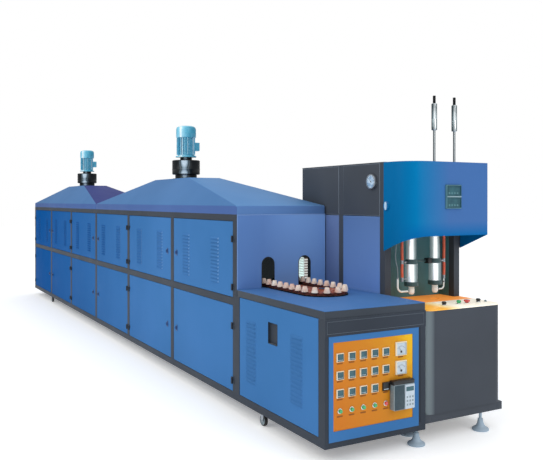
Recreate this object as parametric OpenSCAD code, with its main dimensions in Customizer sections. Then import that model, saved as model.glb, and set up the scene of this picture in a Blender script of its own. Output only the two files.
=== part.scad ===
// Semi-automatic blow moulding machine: a long preform heating oven with a
// return table and control face, and a two-cavity blow station beside it.
// Millimetres, +Z up. The working axes run along the oven (X, towards the
// control face), across it (Y, from the door side to the station) and up.

/* [Oven] */
// Number of door columns along the oven
door_cols = 6; // [2:1:6]
// Distance from one oven post to the next
col_pitch = 1190; // [900:5:1400]
// Length of the open return table
table_len = 1120; // [1000:5:1400]
// Width of the oven frame
oven_w = 720; // [700:5:860]
// Height of the frame's underside above the floor
floor_gap = 92; // [90:1:130]
// Visible height of the bottom rail
bottom_rail_h = 48; // [40:1:60]
// Height of the lower door openings
lower_open_h = 601; // [560:1:660]
// Height of the middle rail
mid_rail_h = 50; // [40:1:60]
// Height of the upper door openings
upper_open_h = 531; // [480:1:600]
// Height of the top rail
top_rail_h = 45; // [40:1:60]
// Width of a post, along the oven
post_w = 64; // [56:1:76]
// Depth of a post and of a rail, across the oven
post_d = 40; // [34:1:44]
// Wall of the frame tubes
tube_t = 3; // [2:0.5:4]

/* [Roof] */
// Height of the fascia under each hood
fascia_h = 60; // [40:1:90]
// Rise of a hood from fascia to plateau
hood_rise = 238; // [180:1:320]
// Length of the hood plateau
plateau_l = 850; // [600:5:1100]
// Width of the hood plateau
plateau_w = 300; // [290:5:400]
// Sheet thickness of the hoods
hood_t = 3; // [2:0.5:5]

/* [Doors and panels] */
// Sheet thickness of doors and panels
sheet_t = 2; // [1.5:0.5:3]
// Depth of a door's folded edge
pan_d = 22; // [16:1:30]
// Gap round a door
door_gap = 3; // [2:0.5:4]
// Radius of a hinge knuckle
knuckle_r = 7; // [6:0.5:8]
// Height of one hinge knuckle
knuckle_h = 22; // [16:1:30]
// Radius of a hinge pin
pin_r = 3.5; // [2.5:0.5:4]
// Distance from door edge to handle centre
handle_inset = 71; // [50:1:100]
// Width of the louvres
louvre_w = 135; // [100:1:160]
// Distance from one louvre to the next
louvre_pitch = 26; // [22:1:34]
// How far a louvre stands out
louvre_out = 7; // [4:0.5:10]
// Number of louvres in a column of an upper door
door_louvres = 13; // [6:1:15]
// Number of louvres in a column of the table panel
table_louvres = 16; // [8:1:18]

/* [Chain] */
// Pitch radius of the chain's turn at each end
wheel_r = 150; // [140:1:150]
// Teeth of the drive sprocket, a multiple of four
sprocket_teeth = 24; // [20:4:24]
// Distance from the control face to the return wheel's axis
return_x = 620; // [560:5:700]
// Width of a chain plate
link_w = 18; // [14:1:20]
// Height of a preform carrier cup
cup_h = 42; // [30:1:50]
// Radius of a carrier cup at its foot
cup_r = 22; // [18:1:26]
// Width of the arched openings in the end wall
arch_w = 100; // [80:1:120]
// Height of the arched openings
arch_h = 213; // [160:1:260]

/* [Heaters] */
// Lamps in one bank
lamp_rows = 12; // [6:1:14]
// Distance from one lamp to the next
lamp_pitch = 19; // [16:0.5:24]
// Distance from a lane's centre to its lamps
lamp_off = 87; // [70:1:95]

/* [Fans] */
// Radius of the fan drum
drum_r = 128; // [110:1:140]
// Height of the fan drum
drum_h = 132; // [100:1:160]
// Radius of the neck under the drum
neck_r = 100; // [80:1:108]
// Height of the neck under the drum
neck_h = 41; // [30:1:60]
// Radius of the motor over its fins
motor_r = 92; // [80:1:100]
// Height of the motor
motor_h = 291; // [240:1:320]

/* [Control face] */
// Size of a temperature controller
ctl_size = 48; // [44:1:52]
// Distance between controller rows
ctl_row = 100; // [80:1:110]
// Size of a panel meter
meter_size = 80; // [70:1:86]
// Radius of a push button
button_r = 11; // [9:0.5:12]
// Travel of a push button
button_travel = 3; // [2:0.5:4]
// How far the inverter stands out
inverter_d = 50; // [30:1:70]

/* [Wheels and feet] */
// Radius of a caster wheel
caster_r = 37.5; // [35:0.5:39]
// Width of a caster wheel
caster_w = 24; // [18:1:30]
// Radius of a levelling foot
foot_r = 53.5; // [40:0.5:60]

/* [Blow station] */
// Width of the station across the oven
station_w = 650; // [620:5:760]
// Gap between the oven and the station
station_gap = 10; // [10:1:60]
// Height of the station cabinet
cabinet_h = 1715; // [1600:5:1900]
// Distance from the control face to the cabinet's far end
cabinet_x = 1417; // [1380:1:1600]
// Distance from the control face to the cabinet's near end
cabinet_near = 400; // [390:1:420]
// Height of the dark upper panels
upper_band = 355; // [200:5:500]
// Distance from the control face to the front of the head hood
hood_front = 150; // [140:1:190]
// Lowest height of the head hood's front edge
hood_edge_z = 1237; // [1150:1:1300]
// How much lower the hood's side reaches at the back
hood_drop = 102; // [60:1:140]
// Radius of the hood's rounded corner
hood_r = 160; // [60:5:180]
// Height of the bed plate
bed_z = 800; // [760:1:860]
// Distance from the control face to the desk's back
desk_back = 270; // [240:1:280]
// Radius of the desk's upright corners
desk_r = 70; // [40:1:90]

/* [Blow heads] */
// Distance from the control face to the blow axes
head_x = 400; // [390:1:410]
// Distance between the two blow axes
head_pitch = 206; // [190:1:220]
// Distance from the control face to the stop rods
stop_x = 250; // [230:1:270]
// Distance between the two stop rods
stop_pitch = 174; // [150:1:200]
// Radius of the upper cylinder tube
upper_tube_r = 34; // [28:0.5:38]
// Radius of the lower cylinder tube
lower_tube_r = 42.5; // [39:0.5:50]
// Radius of a stretch rod
rod_r = 8; // [6:0.5:10]
// Travel of the stretch rods
rod_travel = 170; // [100:5:180]
// Travel of the blow nozzles
nozzle_travel = 25; // [10:1:30]
// Travel of the moving mould half
mould_travel = 150; // [80:5:180]

/* [Hidden] */
$fn = 64;

// Colours of the finishes
blue = [0.29, 0.48, 0.71];
dark = [0.27, 0.30, 0.34];
steel = [0.75, 0.76, 0.78];
orange = [0.85, 0.58, 0.18];
black = [0.1, 0.1, 0.11];
white = [0.92, 0.92, 0.90];

// Running clearances: a pin in its bore, and faces that pass each other
fit = 0.05;
run = 0.3;
// Seam left between pieces that are welded or bolted together
seam = 0.1;

// Levels of the oven
z_sill = floor_gap + bottom_rail_h;
z_mid = z_sill + lower_open_h;
z_upper = z_mid + mid_rail_h;
z_top = z_upper + upper_open_h;
z_frame = z_top + top_rail_h;
z_eave = z_frame + fascia_h;
z_ridge = z_eave + hood_rise;
table_z = z_upper + 63;
skirt_h = 47;
deck_t = 4;

// Lengths of the oven
oven_l = door_cols * col_pitch;
x_far = -table_len - oven_l - post_w / 2;
x_wall = -table_len + post_w / 2;
table_post = 38;
open_w = col_pitch - post_w;
hood_l = (x_wall - x_far) / 2;
function post_x(i) = -table_len - i * col_pitch;
function hood_x(i) = x_far + hood_l * (i + 0.5);

// Levels of the chain, from the deck up
track_t = 6;
plate_t = 2.5;
roller_h = 6.4;
chain_z = table_z + track_t + run;
inner_z = chain_z + plate_t + run;
roller_z = inner_z + plate_t;
chain_top = roller_z + roller_h + 2 * plate_t + run;
chain_h = chain_top - chain_z;
lane_mid = oven_w / 2 + 32;
pitch = 2 * wheel_r * sin(180 / sprocket_teeth);
turn_links = sprocket_teeth / 2;
straight_links = 2 * floor((oven_l + table_len - return_x - wheel_r - 100) / pitch / 2);
drive_x = -return_x - straight_links * pitch;
table_links = 2 * floor((table_len - return_x) / pitch / 2);
far_links = 2;
chain_pin_r = 4;
roller_r = 6;

// Fans
fan_y = oven_w / 2;
drum_z = z_ridge + neck_h;
top_neck_h = 28;
top_neck_r = 55;
motor_z = drum_z + drum_h + top_neck_h;
shaft_r = 9;
drum_t = 3;

// Station
hood_lap = 10;
st_y0 = oven_w + station_gap;
st_y1 = st_y0 + station_w;
st_mid = (st_y0 + st_y1) / 2;
st_tube = 50;
st_foot_z = 117;
st_rail_top = st_foot_z + st_tube;
band_z = cabinet_h - upper_band;
bay_x = -cabinet_near - 147;
mid_post_x = -(cabinet_x + cabinet_near) / 2 + 13.5;
head_z = cabinet_h - 3;
bed_t = 8;
desk_front = -10;
desk_top_t = 6;
head_y = [st_mid - head_pitch / 2, st_mid + head_pitch / 2];
nozzle_z = bed_z + 15 + nozzle_travel;
flange_z = nozzle_z + 55;
tube_z = flange_z + 30;
collar_z = tube_z + 117;
upper_tube_z = collar_z + 32;
head_plate_z = head_z - 262;
head_plate_t = 20;
stop_y = [st_mid + 48 - stop_pitch / 2, st_mid + 48 + stop_pitch / 2];
crosshead_t = 16;
crosshead_z = cabinet_h - st_tube - run - crosshead_t;
hose_r = 8;
blow_line_r = 5;
hose_off = lower_tube_r + 36;
joint_z = collar_z + 14;
port_z = tube_z + 5;
rod_low = upper_tube_z + 26;
rod_bore_r = rod_r + 1;
sleeve_z = head_z + 38 + rod_travel;
sleeve_top = sleeve_z + 174;
rod_top = sleeve_top + 51;

// Clamp, from the desk back to the cabinet
clamp_rail_h = 40;
clamp_z = st_rail_top + clamp_rail_h;
platen_w = 480;
platen_h = 500;
platen_t = 40;
mould_t = 100;
mould_w = 360;
mould_h = 380;
tie_r = 20;
mould_split = -head_x;
mould_top = bed_z - 10;
cylinder_l = mould_travel + 150;
rear_plate_x = -cabinet_x + cylinder_l + 117;
tie_y = platen_w / 2 - 2 * tie_r;
rail_w = 40;
rail_y = platen_w / 2 - 130;
clamp_rod_r = 25;

// Control face
plate_t2 = 3;
ring_t = 4;
ring_y = [25, oven_w - 55];
ring_z = [floor_gap + 33, table_z - skirt_h - 97];
cut_y = [ring_y[0] + 30, ring_y[1] - 45];
cut_z = [ring_z[0] + 58, ring_z[1] - 35];
inverter_side = 165;
ctl_pitch = (cut_y[1] - cut_y[0] - inverter_side) / 5;
row_z = [for (k = [0:2]) cut_z[1] - 85 - k * ctl_row];
ctl_y = cut_y[0] + 44.5;
button_z = cut_z[0] + 109;
inverter_at = [cut_y[1] - 170, cut_z[0] + 67];
collar_r = button_r + 5;
collar_h = 6;
cap_out = button_travel + 7;
cap_in = 20;
collar_in = cap_in + button_travel + 7;

// Where the whole machine sits on its own axes
knuckle_y = knuckle_r + run;
x_min = post_x(door_cols) - foot_r;
x_max = inverter_d;
y_min = -knuckle_y - knuckle_r;
y_max = st_y1 + hood_lap;
mid_x = (x_min + x_max) / 2;
mid_y = (y_min + y_max) / 2;

// Put a piece drawn on the working axes onto the machine's own axes
module placed() {
    translate([-mid_x, -mid_y, 0]) children();
}

// A box given by its low and high corners
module block(lo, hi) {
    translate(lo) cube(hi - lo);
}

// A rectangular tube along one axis, open at its ends, a weld seam short of what it meets
module tube(lo, hi, along) {
    wall = [for (k = [0:2]) k == along ? -1 : tube_t];
    trim = [for (k = [0:2]) k == along ? seam : 0];
    difference() {
        block(lo + trim, hi - trim);
        block(lo + wall, hi - wall);
    }
}

// A flat outline with round ends, from one end's centre to the other's
module slot_shape(length, width) {
    circle(d = width);
    translate([length, 0]) circle(d = width);
    translate([0, -width / 2]) square([length, width]);
}

// A door or panel folded from sheet: outer face at y = 0, edges turned back
module pan(w, h, depth) {
    difference() {
        cube([w, depth, h]);
        translate([sheet_t, sheet_t, sheet_t]) cube([w - 2 * sheet_t, depth, h - 2 * sheet_t]);
    }
}

// One pressed louvre hood, lip down
module louvre_hood(w) {
    translate([-w / 2, 0, 0]) rotate([90, 0, 90]) linear_extrude(w)
        polygon([[0.5, 16], [0, 16], [-louvre_out, 5], [-louvre_out, 2],
            [-louvre_out + 1.5, 2], [-louvre_out + 1.5, 4.5], [0.5, 12.5]]);
}

// The slit behind one louvre
module louvre_slit(w) {
    translate([-w / 2 + 3, -0.5, 2]) cube([w - 6, sheet_t + 1, 8]);
}

// A column of louvres, as hoods or as slits
module louvre_column(x, z0, count, slits) {
    for (k = [0:count - 1]) translate([x, 0, z0 + k * louvre_pitch]) {
        if (slits) louvre_slit(louvre_w);
        else louvre_hood(louvre_w);
    }
}

// Half of a lift-off hinge on the frame, its leaf running to -X, with the pin
module hinge_post_half() {
    cylinder(r = knuckle_r, h = knuckle_h);
    cylinder(r = pin_r, h = 2 * knuckle_h);
    translate([-door_gap - 22, knuckle_y - 2, 0]) cube([22 + door_gap / 2, 3, knuckle_h]);
    translate([-door_gap, knuckle_y - 2, 0]) cube([door_gap, 2, knuckle_h]);
}

// Half of a lift-off hinge on the door, its leaf running to +X, bored for the pin
module hinge_door_half() {
    translate([0, 0, knuckle_h + run]) difference() {
        union() {
            cylinder(r = knuckle_r, h = knuckle_h);
            translate([0, knuckle_y - 2, 0]) cube([26, 2, knuckle_h]);
            translate([door_gap, knuckle_y - 2, 0]) cube([22, 3, knuckle_h]);
        }
        translate([0, 0, -1]) cylinder(r = pin_r + fit, h = knuckle_h + 2);
    }
}

// Heights of the two hinges on a door, from its lower edge
function hinge_z(h) = [0.09 * h, 0.725 * h];

// True when a door column is hinged on its far side
function far_hinged(col) = col % 2 == 1;

// A door pan with its hinge halves, louvres and handle, lower far corner at the origin
module door(col, h, louvred) {
    w = open_w - 2 * door_gap;
    flip = far_hinged(col) ? 0 : 1;
    louvre_x = [0.27 * w, 0.76 * w];
    louvre_z = 0.145 * h;
    difference() {
        union() {
            pan(w, h, pan_d);
            if (louvred) for (x = louvre_x) louvre_column(x, louvre_z, door_louvres, false);
        }
        if (louvred) for (x = louvre_x) louvre_column(x, louvre_z, door_louvres, true);
    }
    translate([flip * w, 0, 0]) mirror([flip, 0, 0]) {
        for (z = hinge_z(h)) translate([-door_gap / 2, -knuckle_y, z]) hinge_door_half();
        translate([w - handle_inset, 0, 0.46 * h]) door_handle();
    }
}

// A dark oval turn handle on its rose
module door_handle() {
    rotate([90, -90, 0]) {
        translate([-12, 0, 0]) linear_extrude(4) slot_shape(24, 30);
        translate([-10, 0, 4]) linear_extrude(8) slot_shape(20, 14);
    }
}

module placed_door(col, z, opening_h, louvred) {
    placed() translate([post_x(door_cols - col) - col_pitch + post_w / 2 + door_gap, 0, z + door_gap])
        door(col, opening_h - 2 * door_gap, louvred);
}

module upper_door(col) {
    color(blue) placed_door(col, z_upper, upper_open_h, true);
}

module lower_door(col) {
    color(blue) placed_door(col, z_sill, lower_open_h, false);
}

// The frame's hinge halves for one row of doors
module frame_hinges(z, opening_h) {
    h = opening_h - 2 * door_gap;
    for (col = [1:door_cols]) {
        x0 = post_x(door_cols - col) - col_pitch + post_w / 2;
        flip = far_hinged(col) ? 0 : 1;
        for (hz = hinge_z(h))
            translate([x0 + door_gap / 2 + flip * (open_w - door_gap), -knuckle_y, z + door_gap + hz])
                mirror([flip, 0, 0]) hinge_post_half();
    }
}

// Welded frame of rectangular tube: posts, rails and cross rails
module oven_frame() {
    color(dark) placed() {
        oven_tubes();
        frame_hinges(z_upper, upper_open_h);
        frame_hinges(z_sill, lower_open_h);
        table_tubes();
    }
}

module oven_tubes() {
    for (i = [0:door_cols]) {
        for (y = [0, oven_w - post_d])
            tube([post_x(i) - post_w / 2, y, floor_gap], [post_x(i) + post_w / 2, y + post_d, z_frame], 2);
        for (z = [[floor_gap, z_sill], [z_mid, z_upper]])
            tube([post_x(i) - post_d / 2, post_d, z[0]], [post_x(i) + post_d / 2, oven_w - post_d, z[1]], 1);
    }
    for (i = [0, door_cols])
        tube([post_x(i) - post_d / 2, post_d, z_top], [post_x(i) + post_d / 2, oven_w - post_d, z_frame], 1);
    for (i = [0:door_cols - 1])
        for (y = [0, oven_w - post_d])
            for (z = [[floor_gap, z_sill], [z_mid, z_upper], [z_top, z_frame]])
                tube([post_x(i + 1) + post_w / 2, y, z[0]], [post_x(i) - post_w / 2, y + post_d, z[1]], 0);
}

module table_tubes() {
    top = table_z - skirt_h;
    for (y = [0, oven_w - post_d]) {
        tube([x_wall, y, floor_gap], [x_wall + table_post, y + post_d, top], 2);
        tube([-post_w, y, floor_gap], [0, y + post_d, top], 2);
        tube([x_wall + table_post, y, floor_gap], [-post_w, y + post_d, z_sill], 0);
    }
    tube([-post_d, post_d, floor_gap], [0, oven_w - post_d, z_sill], 1);
}

// Fixed panels of the far side and the far end
module oven_panels() {
    w = open_w - 2 * door_gap;
    end_w = oven_w - 2 * post_d - 2 * door_gap;
    color(blue) placed() {
        for (i = [0:door_cols - 1])
            for (z = [[z_sill, z_mid], [z_upper, z_top]])
                translate([post_x(i) - post_w / 2 - door_gap, oven_w, z[0] + door_gap]) rotate(180)
                    panel_tray(w, z[1] - z[0] - 2 * door_gap);
        for (z = [[z_sill, z_mid], [z_upper, z_top]])
            translate([post_x(door_cols) - post_d / 2 - sheet_t, oven_w - post_d - door_gap, z[0] - 10])
                rotate(-90) cube([end_w, sheet_t, z[1] - z[0] + 20]);
        translate([-post_w - door_gap, oven_w, z_sill + door_gap]) rotate(180)
            panel_tray(table_len - post_w * 3 / 2 - table_post - 2 * door_gap,
                table_z - skirt_h - z_sill - 2 * door_gap);
    }
}

// A fixed panel: a folded tray with side lugs that reach the posts
module panel_tray(w, h) {
    pan(w, h, pan_d);
    for (z = [0.2, 0.8])
        for (x = [-door_gap, w - sheet_t])
            translate([x, 4, z * h - 15]) cube([door_gap + sheet_t, 14, 30]);
}

// End wall with its two arched chain openings, laid up in strips so that each
// strip follows the curve of the arches
module end_wall() {
    arch_r = arch_w / 2;
    spring_z = table_z + arch_h - arch_r;
    seams = [for (turn = [0, 30, 60, 80]) spring_z + arch_r * sin(turn)];
    color(blue) placed() difference() {
        block([x_wall + seam, 0, table_z + seam], [x_wall + sheet_t, oven_w, z_frame]);
        for (y = [lane_mid - wheel_r, lane_mid + wheel_r]) {
            block([x_wall - 1, y - arch_r, table_z - 1], [x_wall + sheet_t + 1, y + arch_r, spring_z]);
            translate([x_wall - 1, y, spring_z]) rotate([0, 90, 0]) cylinder(r = arch_r, h = sheet_t + 2);
        }
        for (z = seams) block([x_wall - 1, -1, z], [x_wall + sheet_t + 1, oven_w + 1, z + seam]);
    }
}

// A hood's four sides, each between its two mitred ends, from z0 up to z0 + h
module hood_sides(base, top, z0, h) {
    t = hood_t;
    for (turn = [0, 90, 180, 270]) {
        flat = turn % 180 == 0;
        b = (flat ? base : [base[1], base[0]]) / 2;
        u = (flat ? top : [top[1], top[0]]) / 2;
        rotate(turn) polyhedron(
            points = [[-b[0] + seam, -b[1], z0], [b[0] - seam, -b[1], z0], [b[0] - t - seam, -b[1] + t, z0],
                [-b[0] + t + seam, -b[1] + t, z0], [-u[0] + seam, -u[1], z0 + h], [u[0] - seam, -u[1], z0 + h],
                [u[0] - t - seam, -u[1] + t, z0 + h], [-u[0] + t + seam, -u[1] + t, z0 + h]],
            faces = [[0, 1, 2, 3], [4, 7, 6, 5], [0, 4, 5, 1], [1, 5, 6, 2], [2, 6, 7, 3], [3, 7, 4, 0]]);
    }
}

// Two hip hoods of welded plates, each with its fascia, open below; the
// plateau rests on the sides and is left open under the fan
module roof_hoods() {
    base = [hood_l - run, oven_w];
    top = [plateau_l, plateau_w];
    hole = 2 * (neck_r - 16);
    color(blue) placed() for (i = [0, 1]) translate([hood_x(i), oven_w / 2, 0]) {
        hood_sides(base, base, z_frame, fascia_h - seam);
        hood_sides(base, top, z_eave, hood_rise - hood_t - seam);
        for (side = [-1, 1]) {
            translate([side * (plateau_l + hole) / 4, 0, z_ridge - hood_t / 2])
                cube([(plateau_l - hole) / 2 - seam, plateau_w, hood_t], center = true);
            translate([0, side * (plateau_w + hole) / 4, z_ridge - hood_t / 2])
                cube([hole - seam, (plateau_w - hole) / 2, hood_t], center = true);
        }
    }
}

// The table top with its turned-down skirt, and the deck through the oven
module decks() {
    shaft_hole = 21;
    color(blue) placed() {
        difference() {
            block([x_wall + sheet_t, 0, table_z - skirt_h], [0, oven_w, table_z]);
            block([x_wall + sheet_t - 1, deck_t, table_z - skirt_h - 1], [-deck_t, oven_w - deck_t, table_z - deck_t]);
        }
        difference() {
            block([x_far + post_w, post_d + 2, z_upper + seam], [x_wall - seam, oven_w - post_d - 2, table_z]);
            block([x_far + post_w - 1, post_d + 5, z_upper - 1], [x_wall + 1, oven_w - post_d - 5, table_z - deck_t]);
            translate([drive_x, lane_mid, z_upper]) cylinder(r = shaft_hole, h = 80);
        }
    }
}

// Lift-off panel on the table's door side, with louvres and a recessed pull
module table_side_panel() {
    x0 = x_wall + table_post + door_gap;
    w = -post_w - door_gap - x0;
    h = table_z - skirt_h - z_sill - 2 * door_gap;
    pull_x = 0.47 * w;
    pull_z = 0.74 * h;
    color(blue) placed() translate([x0, 0, z_sill + door_gap]) {
        difference() {
            union() {
                panel_tray(w, h);
                louvre_column(0.17 * w, 0.18 * h, table_louvres, false);
                louvre_column(0.76 * w, 0.18 * h, table_louvres, false);
                translate([pull_x - 62, 0, pull_z - 69]) cube([124, 20, 138]);
            }
            translate([pull_x - 60, -1, pull_z - 67]) cube([120, 19, 134]);
            louvre_column(0.17 * w, 0.18 * h, table_louvres, true);
            louvre_column(0.76 * w, 0.18 * h, table_louvres, true);
        }
        translate([pull_x - 60, 2, pull_z + 45]) cube([120, 16, 4]);
    }
}

// One lamp bank: a reflector tray on two legs, with end blocks and lamps
module heater_bank(length, side) {
    h = lamp_rows * lamp_pitch;
    mirror([0, side < 0 ? 1 : 0, 0]) {
        for (x = [0, length - 12]) translate([x, -9, 0]) cube([12, 28, h]);
        translate([0, 17, 0]) cube([length, 2, h]);
        for (z = [0, h - 2]) translate([0, 0, z]) cube([length, 19, 2]);
        for (x = [60, length - 90]) translate([x, 8, -31]) cube([30, 11, 32]);
        for (k = [0:lamp_rows - 1]) translate([6, 0, (k + 0.5) * lamp_pitch]) rotate([0, 90, 0])
            cylinder(r = 5, h = length - 12, $fn = 24);
    }
}

// Lamp banks on both sides of each chain lane, one row per oven bay; the last
// inner pair stops short of the drive sprocket
module heater_banks() {
    full = open_w - 120;
    turn = drive_x + wheel_r + 20;
    color(white) placed() for (i = [0:door_cols - 1]) for (lane = [-1, 1]) for (side = [-1, 1]) {
        start = post_x(i) - (col_pitch + full) / 2;
        cut = lane * side < 0 ? max(0, turn - start) : 0;
        translate([start + cut, lane_mid + lane * wheel_r + side * lamp_off, table_z + 31])
            heater_bank(full - cut, side);
    }
}

// Fan housings: neck, drum and upper neck turned as one thin shell each
module fan_housings() {
    inner = drum_r - drum_t;
    top = drum_z + drum_h;
    color(black) placed() for (i = [0, 1]) translate([hood_x(i), fan_y, 0]) rotate_extrude()
        polygon([[neck_r - 4, z_ridge], [neck_r + 25, z_ridge], [neck_r + 25, z_ridge + 4], [neck_r, z_ridge + 4],
            [neck_r, drum_z], [drum_r, drum_z], [drum_r, top], [top_neck_r, top], [top_neck_r, motor_z],
            [top_neck_r - 4, motor_z], [top_neck_r - 4, top - drum_t], [inner, top - drum_t],
            [inner, drum_z + drum_t], [neck_r - 4, drum_z + drum_t]]);
}

// Upright fan motor: finned body, fan cowl and a terminal box
module fan_motor() {
    flange_t = 12;
    cowl_h = 107;
    body_r = motor_r - 17;
    body_top = motor_h - cowl_h;
    difference() {
        union() {
            cylinder(r = motor_r + 4, h = flange_t);
            translate([0, 0, flange_t]) cylinder(r = body_r, h = body_top - flange_t + 10);
            for (k = [0:23]) if (k < 4 || k > 8) rotate(k * 15 + 3)
                translate([body_r - 2, -2, flange_t + 12]) cube([16, 4, body_top - flange_t - 12]);
            translate([0, 0, body_top]) rotate_extrude()
                polygon([[0, 0], [motor_r, 0], [motor_r, cowl_h - 30], [motor_r - 6, cowl_h - 12],
                    [motor_r - 22, cowl_h - 2], [motor_r - 30, cowl_h], [0, cowl_h]]);
            translate([-38, 60, 60]) cube([76, 62, 84]);
        }
        translate([0, 0, -1]) cylinder(r = shaft_r + fit, h = 31);
        for (k = [0:11]) rotate(k * 30) translate([28, -3, motor_h - 4]) cube([28, 6, 5]);
    }
}

module fan_motors() {
    color([0.31, 0.64, 0.77]) placed() for (i = [0, 1]) translate([hood_x(i), fan_y, motor_z]) fan_motor();
}

// Fan rotor: back plate, radial blades, hub and the shaft up into the motor
module fan_rotor(i) {
    wheel_z = drum_z + 12;
    blade_h = drum_h - 40;
    color(steel) placed() translate([hood_x(i), fan_y, wheel_z]) {
        cylinder(r = drum_r - 16, h = 4);
        cylinder(r = 20, h = blade_h);
        cylinder(r = shaft_r, h = motor_z - wheel_z + 25);
        for (k = [0:9]) rotate(k * 36) translate([34, -2, 3]) cube([drum_r - 54, 4, blade_h - 3]);
    }
}

// Track strips and end curves that the chain slides on
module chain_track() {
    strip = link_w + 16;
    color(dark) placed() translate([0, lane_mid, table_z]) {
        for (side = [-1, 1]) {
            block([drive_x + run, side * wheel_r - strip / 2, 0], [x_wall - 2, side * wheel_r + strip / 2, track_t]);
            block([x_wall - 2 + run, side * wheel_r - strip / 2, 0], [-return_x - run, side * wheel_r + strip / 2, track_t]);
        }
        for (end = [[-return_x, -90], [drive_x, 90]]) translate([end[0], 0, 0]) rotate([0, 0, end[1]])
            rotate_extrude(angle = 180) translate([wheel_r - strip / 2, 0]) square([strip, track_t]);
    }
}

// Pin positions round the chain loop, from the near turn's first pin
function loop_pin(k) =
    k <= turn_links ? [-return_x + wheel_r * cos(-90 + k * 180 / turn_links), wheel_r * sin(-90 + k * 180 / turn_links)] :
    k <= turn_links + straight_links ? [-return_x - (k - turn_links) * pitch, wheel_r] :
    k <= 2 * turn_links + straight_links ?
        [drive_x + wheel_r * cos(90 + (k - turn_links - straight_links) * 180 / turn_links),
            wheel_r * sin(90 + (k - turn_links - straight_links) * 180 / turn_links)] :
    [drive_x + (k - 2 * turn_links - straight_links) * pitch, -wheel_r];

// Put a link on the chain between two pins of the loop
module on_link(k) {
    a = loop_pin(k);
    b = loop_pin(k + 1);
    translate([a[0], a[1], 0]) rotate(atan2(b[1] - a[1], b[0] - a[0])) children();
}

// Carrier cup, a hollow cone that holds one preform by its neck
module carrier_cup() {
    rotate_extrude() polygon([[0, 0], [cup_r, 0], [cup_r, 3], [cup_r - 6, cup_h - 3], [cup_r - 7, cup_h],
        [11, cup_h], [11, 5], [0, 5]]);
}

// Outer link: two plates joined by its two pins, with a carrier cup on top
module outer_link() {
    for (dz = [chain_z, chain_top]) translate([0, 0, dz]) linear_extrude(plate_t) slot_shape(pitch, link_w);
    for (x = [0, pitch]) translate([x, 0, chain_z]) cylinder(r = chain_pin_r, h = chain_h + plate_t);
    translate([pitch / 2, 0, chain_top + plate_t - 0.5]) carrier_cup();
}

// Inner link: two plates on two rollers, bored for the pins
module inner_link() {
    difference() {
        union() {
            for (dz = [inner_z, roller_z + roller_h]) translate([0, 0, dz]) linear_extrude(plate_t)
                slot_shape(pitch, link_w);
            for (x = [0, pitch]) translate([x, 0, inner_z]) cylinder(r = roller_r, h = roller_h + 2 * plate_t);
        }
        for (x = [0, pitch]) translate([x, 0, inner_z - 1]) cylinder(r = chain_pin_r + fit, h = roller_h + 2 * plate_t + 2);
    }
}

// One lane of closed-up chain inside the oven, in lengths, with its cups
module chain_lane(side, first) {
    lengths = 6;
    clear = link_w / 2 + run;
    x_near = -return_x - first * pitch - clear;
    x_end = drive_x + (far_links + (side > 0 ? 0 : 1)) * pitch + clear;
    step = (x_near - x_end) / lengths;
    for (k = [0:lengths - 1])
        block([x_end + k * step + seam, side * wheel_r - link_w / 2, chain_z],
            [x_end + (k + 1) * step - seam, side * wheel_r + link_w / 2, chain_top + plate_t]);
    for (k = [first + 1:2:straight_links - far_links - 2])
        translate([-return_x - (k + 0.5) * pitch, side * wheel_r, chain_top + plate_t + seam]) carrier_cup();
}

// Endless carrier chain: true links round both ends and on the table
module carrier_chain() {
    first = turn_links + table_links;
    last = turn_links + straight_links - far_links;
    color([0.45, 0.25, 0.18]) placed() translate([0, lane_mid, 0]) {
        for (k = [-table_links:first]) on_chain_link(k);
        for (k = [last:last + turn_links + 2 * far_links]) on_chain_link(k);
        chain_lane(1, table_links + 1);
        chain_lane(-1, table_links);
    }
}

// Even positions are outer links, odd ones inner links
module on_chain_link(k) {
    if (k < 0) translate([-return_x + k * pitch, -wheel_r, 0]) chain_link(k);
    else on_link(k) chain_link(k);
}

module chain_link(k) {
    if (k % 2 == 0) outer_link();
    else inner_link();
}

// Plain return wheel that the chain runs round on the table
module return_wheel() {
    rim_r = wheel_r * cos(180 / sprocket_teeth) - link_w / 2 - run;
    color([0.48, 0.27, 0.2]) placed() translate([-return_x, lane_mid, chain_z]) difference() {
        union() {
            cylinder(r = rim_r, h = chain_h, $fn = 96);
            cylinder(r = 34, h = chain_h + 8);
        }
        translate([0, 0, -1]) cylinder(r = 20 + fit, h = chain_h + 20);
        for (k = [0:5]) rotate(k * 60) translate([84, 0, chain_h - 6]) cylinder(r = 26, h = 10);
    }
}

// Drive sprocket and its shaft; the teeth reach between the rollers
module drive_sprocket() {
    body_r = wheel_r - 1;
    gullet_r = roller_r + 0.6;
    color(steel) placed() translate([drive_x, lane_mid, 0]) {
        difference() {
            translate([0, 0, roller_z + 0.4]) cylinder(r = body_r, h = roller_h - 0.8, $fn = 96);
            for (k = [0:sprocket_teeth - 1]) rotate(k * 360 / sprocket_teeth)
                translate([wheel_r, 0, roller_z]) cylinder(r = gullet_r, h = roller_h);
        }
        translate([0, 0, roller_z + 0.4]) cylinder(r = 60, h = 20);
        translate([0, 0, table_z - 64]) cylinder(r = 20, h = 64 + roller_z - table_z + 1);
    }
}

// Return axle on the table, and the gear motor hung below the drive sprocket
module chain_drive() {
    color(dark) placed() {
        translate([-return_x, lane_mid, table_z]) {
            cylinder(r = 32, h = track_t);
            cylinder(r = 20, h = chain_top - table_z + 10);
            translate([0, 0, chain_top - table_z + 8]) cylinder(r = 26, h = 5);
        }
        translate([drive_x, lane_mid, table_z - deck_t - 150]) {
            difference() {
                translate([-80, -70, 0]) cube([160, 140, 150]);
                translate([0, 0, 80]) cylinder(r = 20 + fit, h = 80);
            }
            translate([79, 0, 70]) rotate([0, 90, 0]) cylinder(r = 58, h = 210);
            translate([289, 0, 70]) rotate([0, 90, 0]) cylinder(r = 62, h = 50);
        }
    }
}

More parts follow.
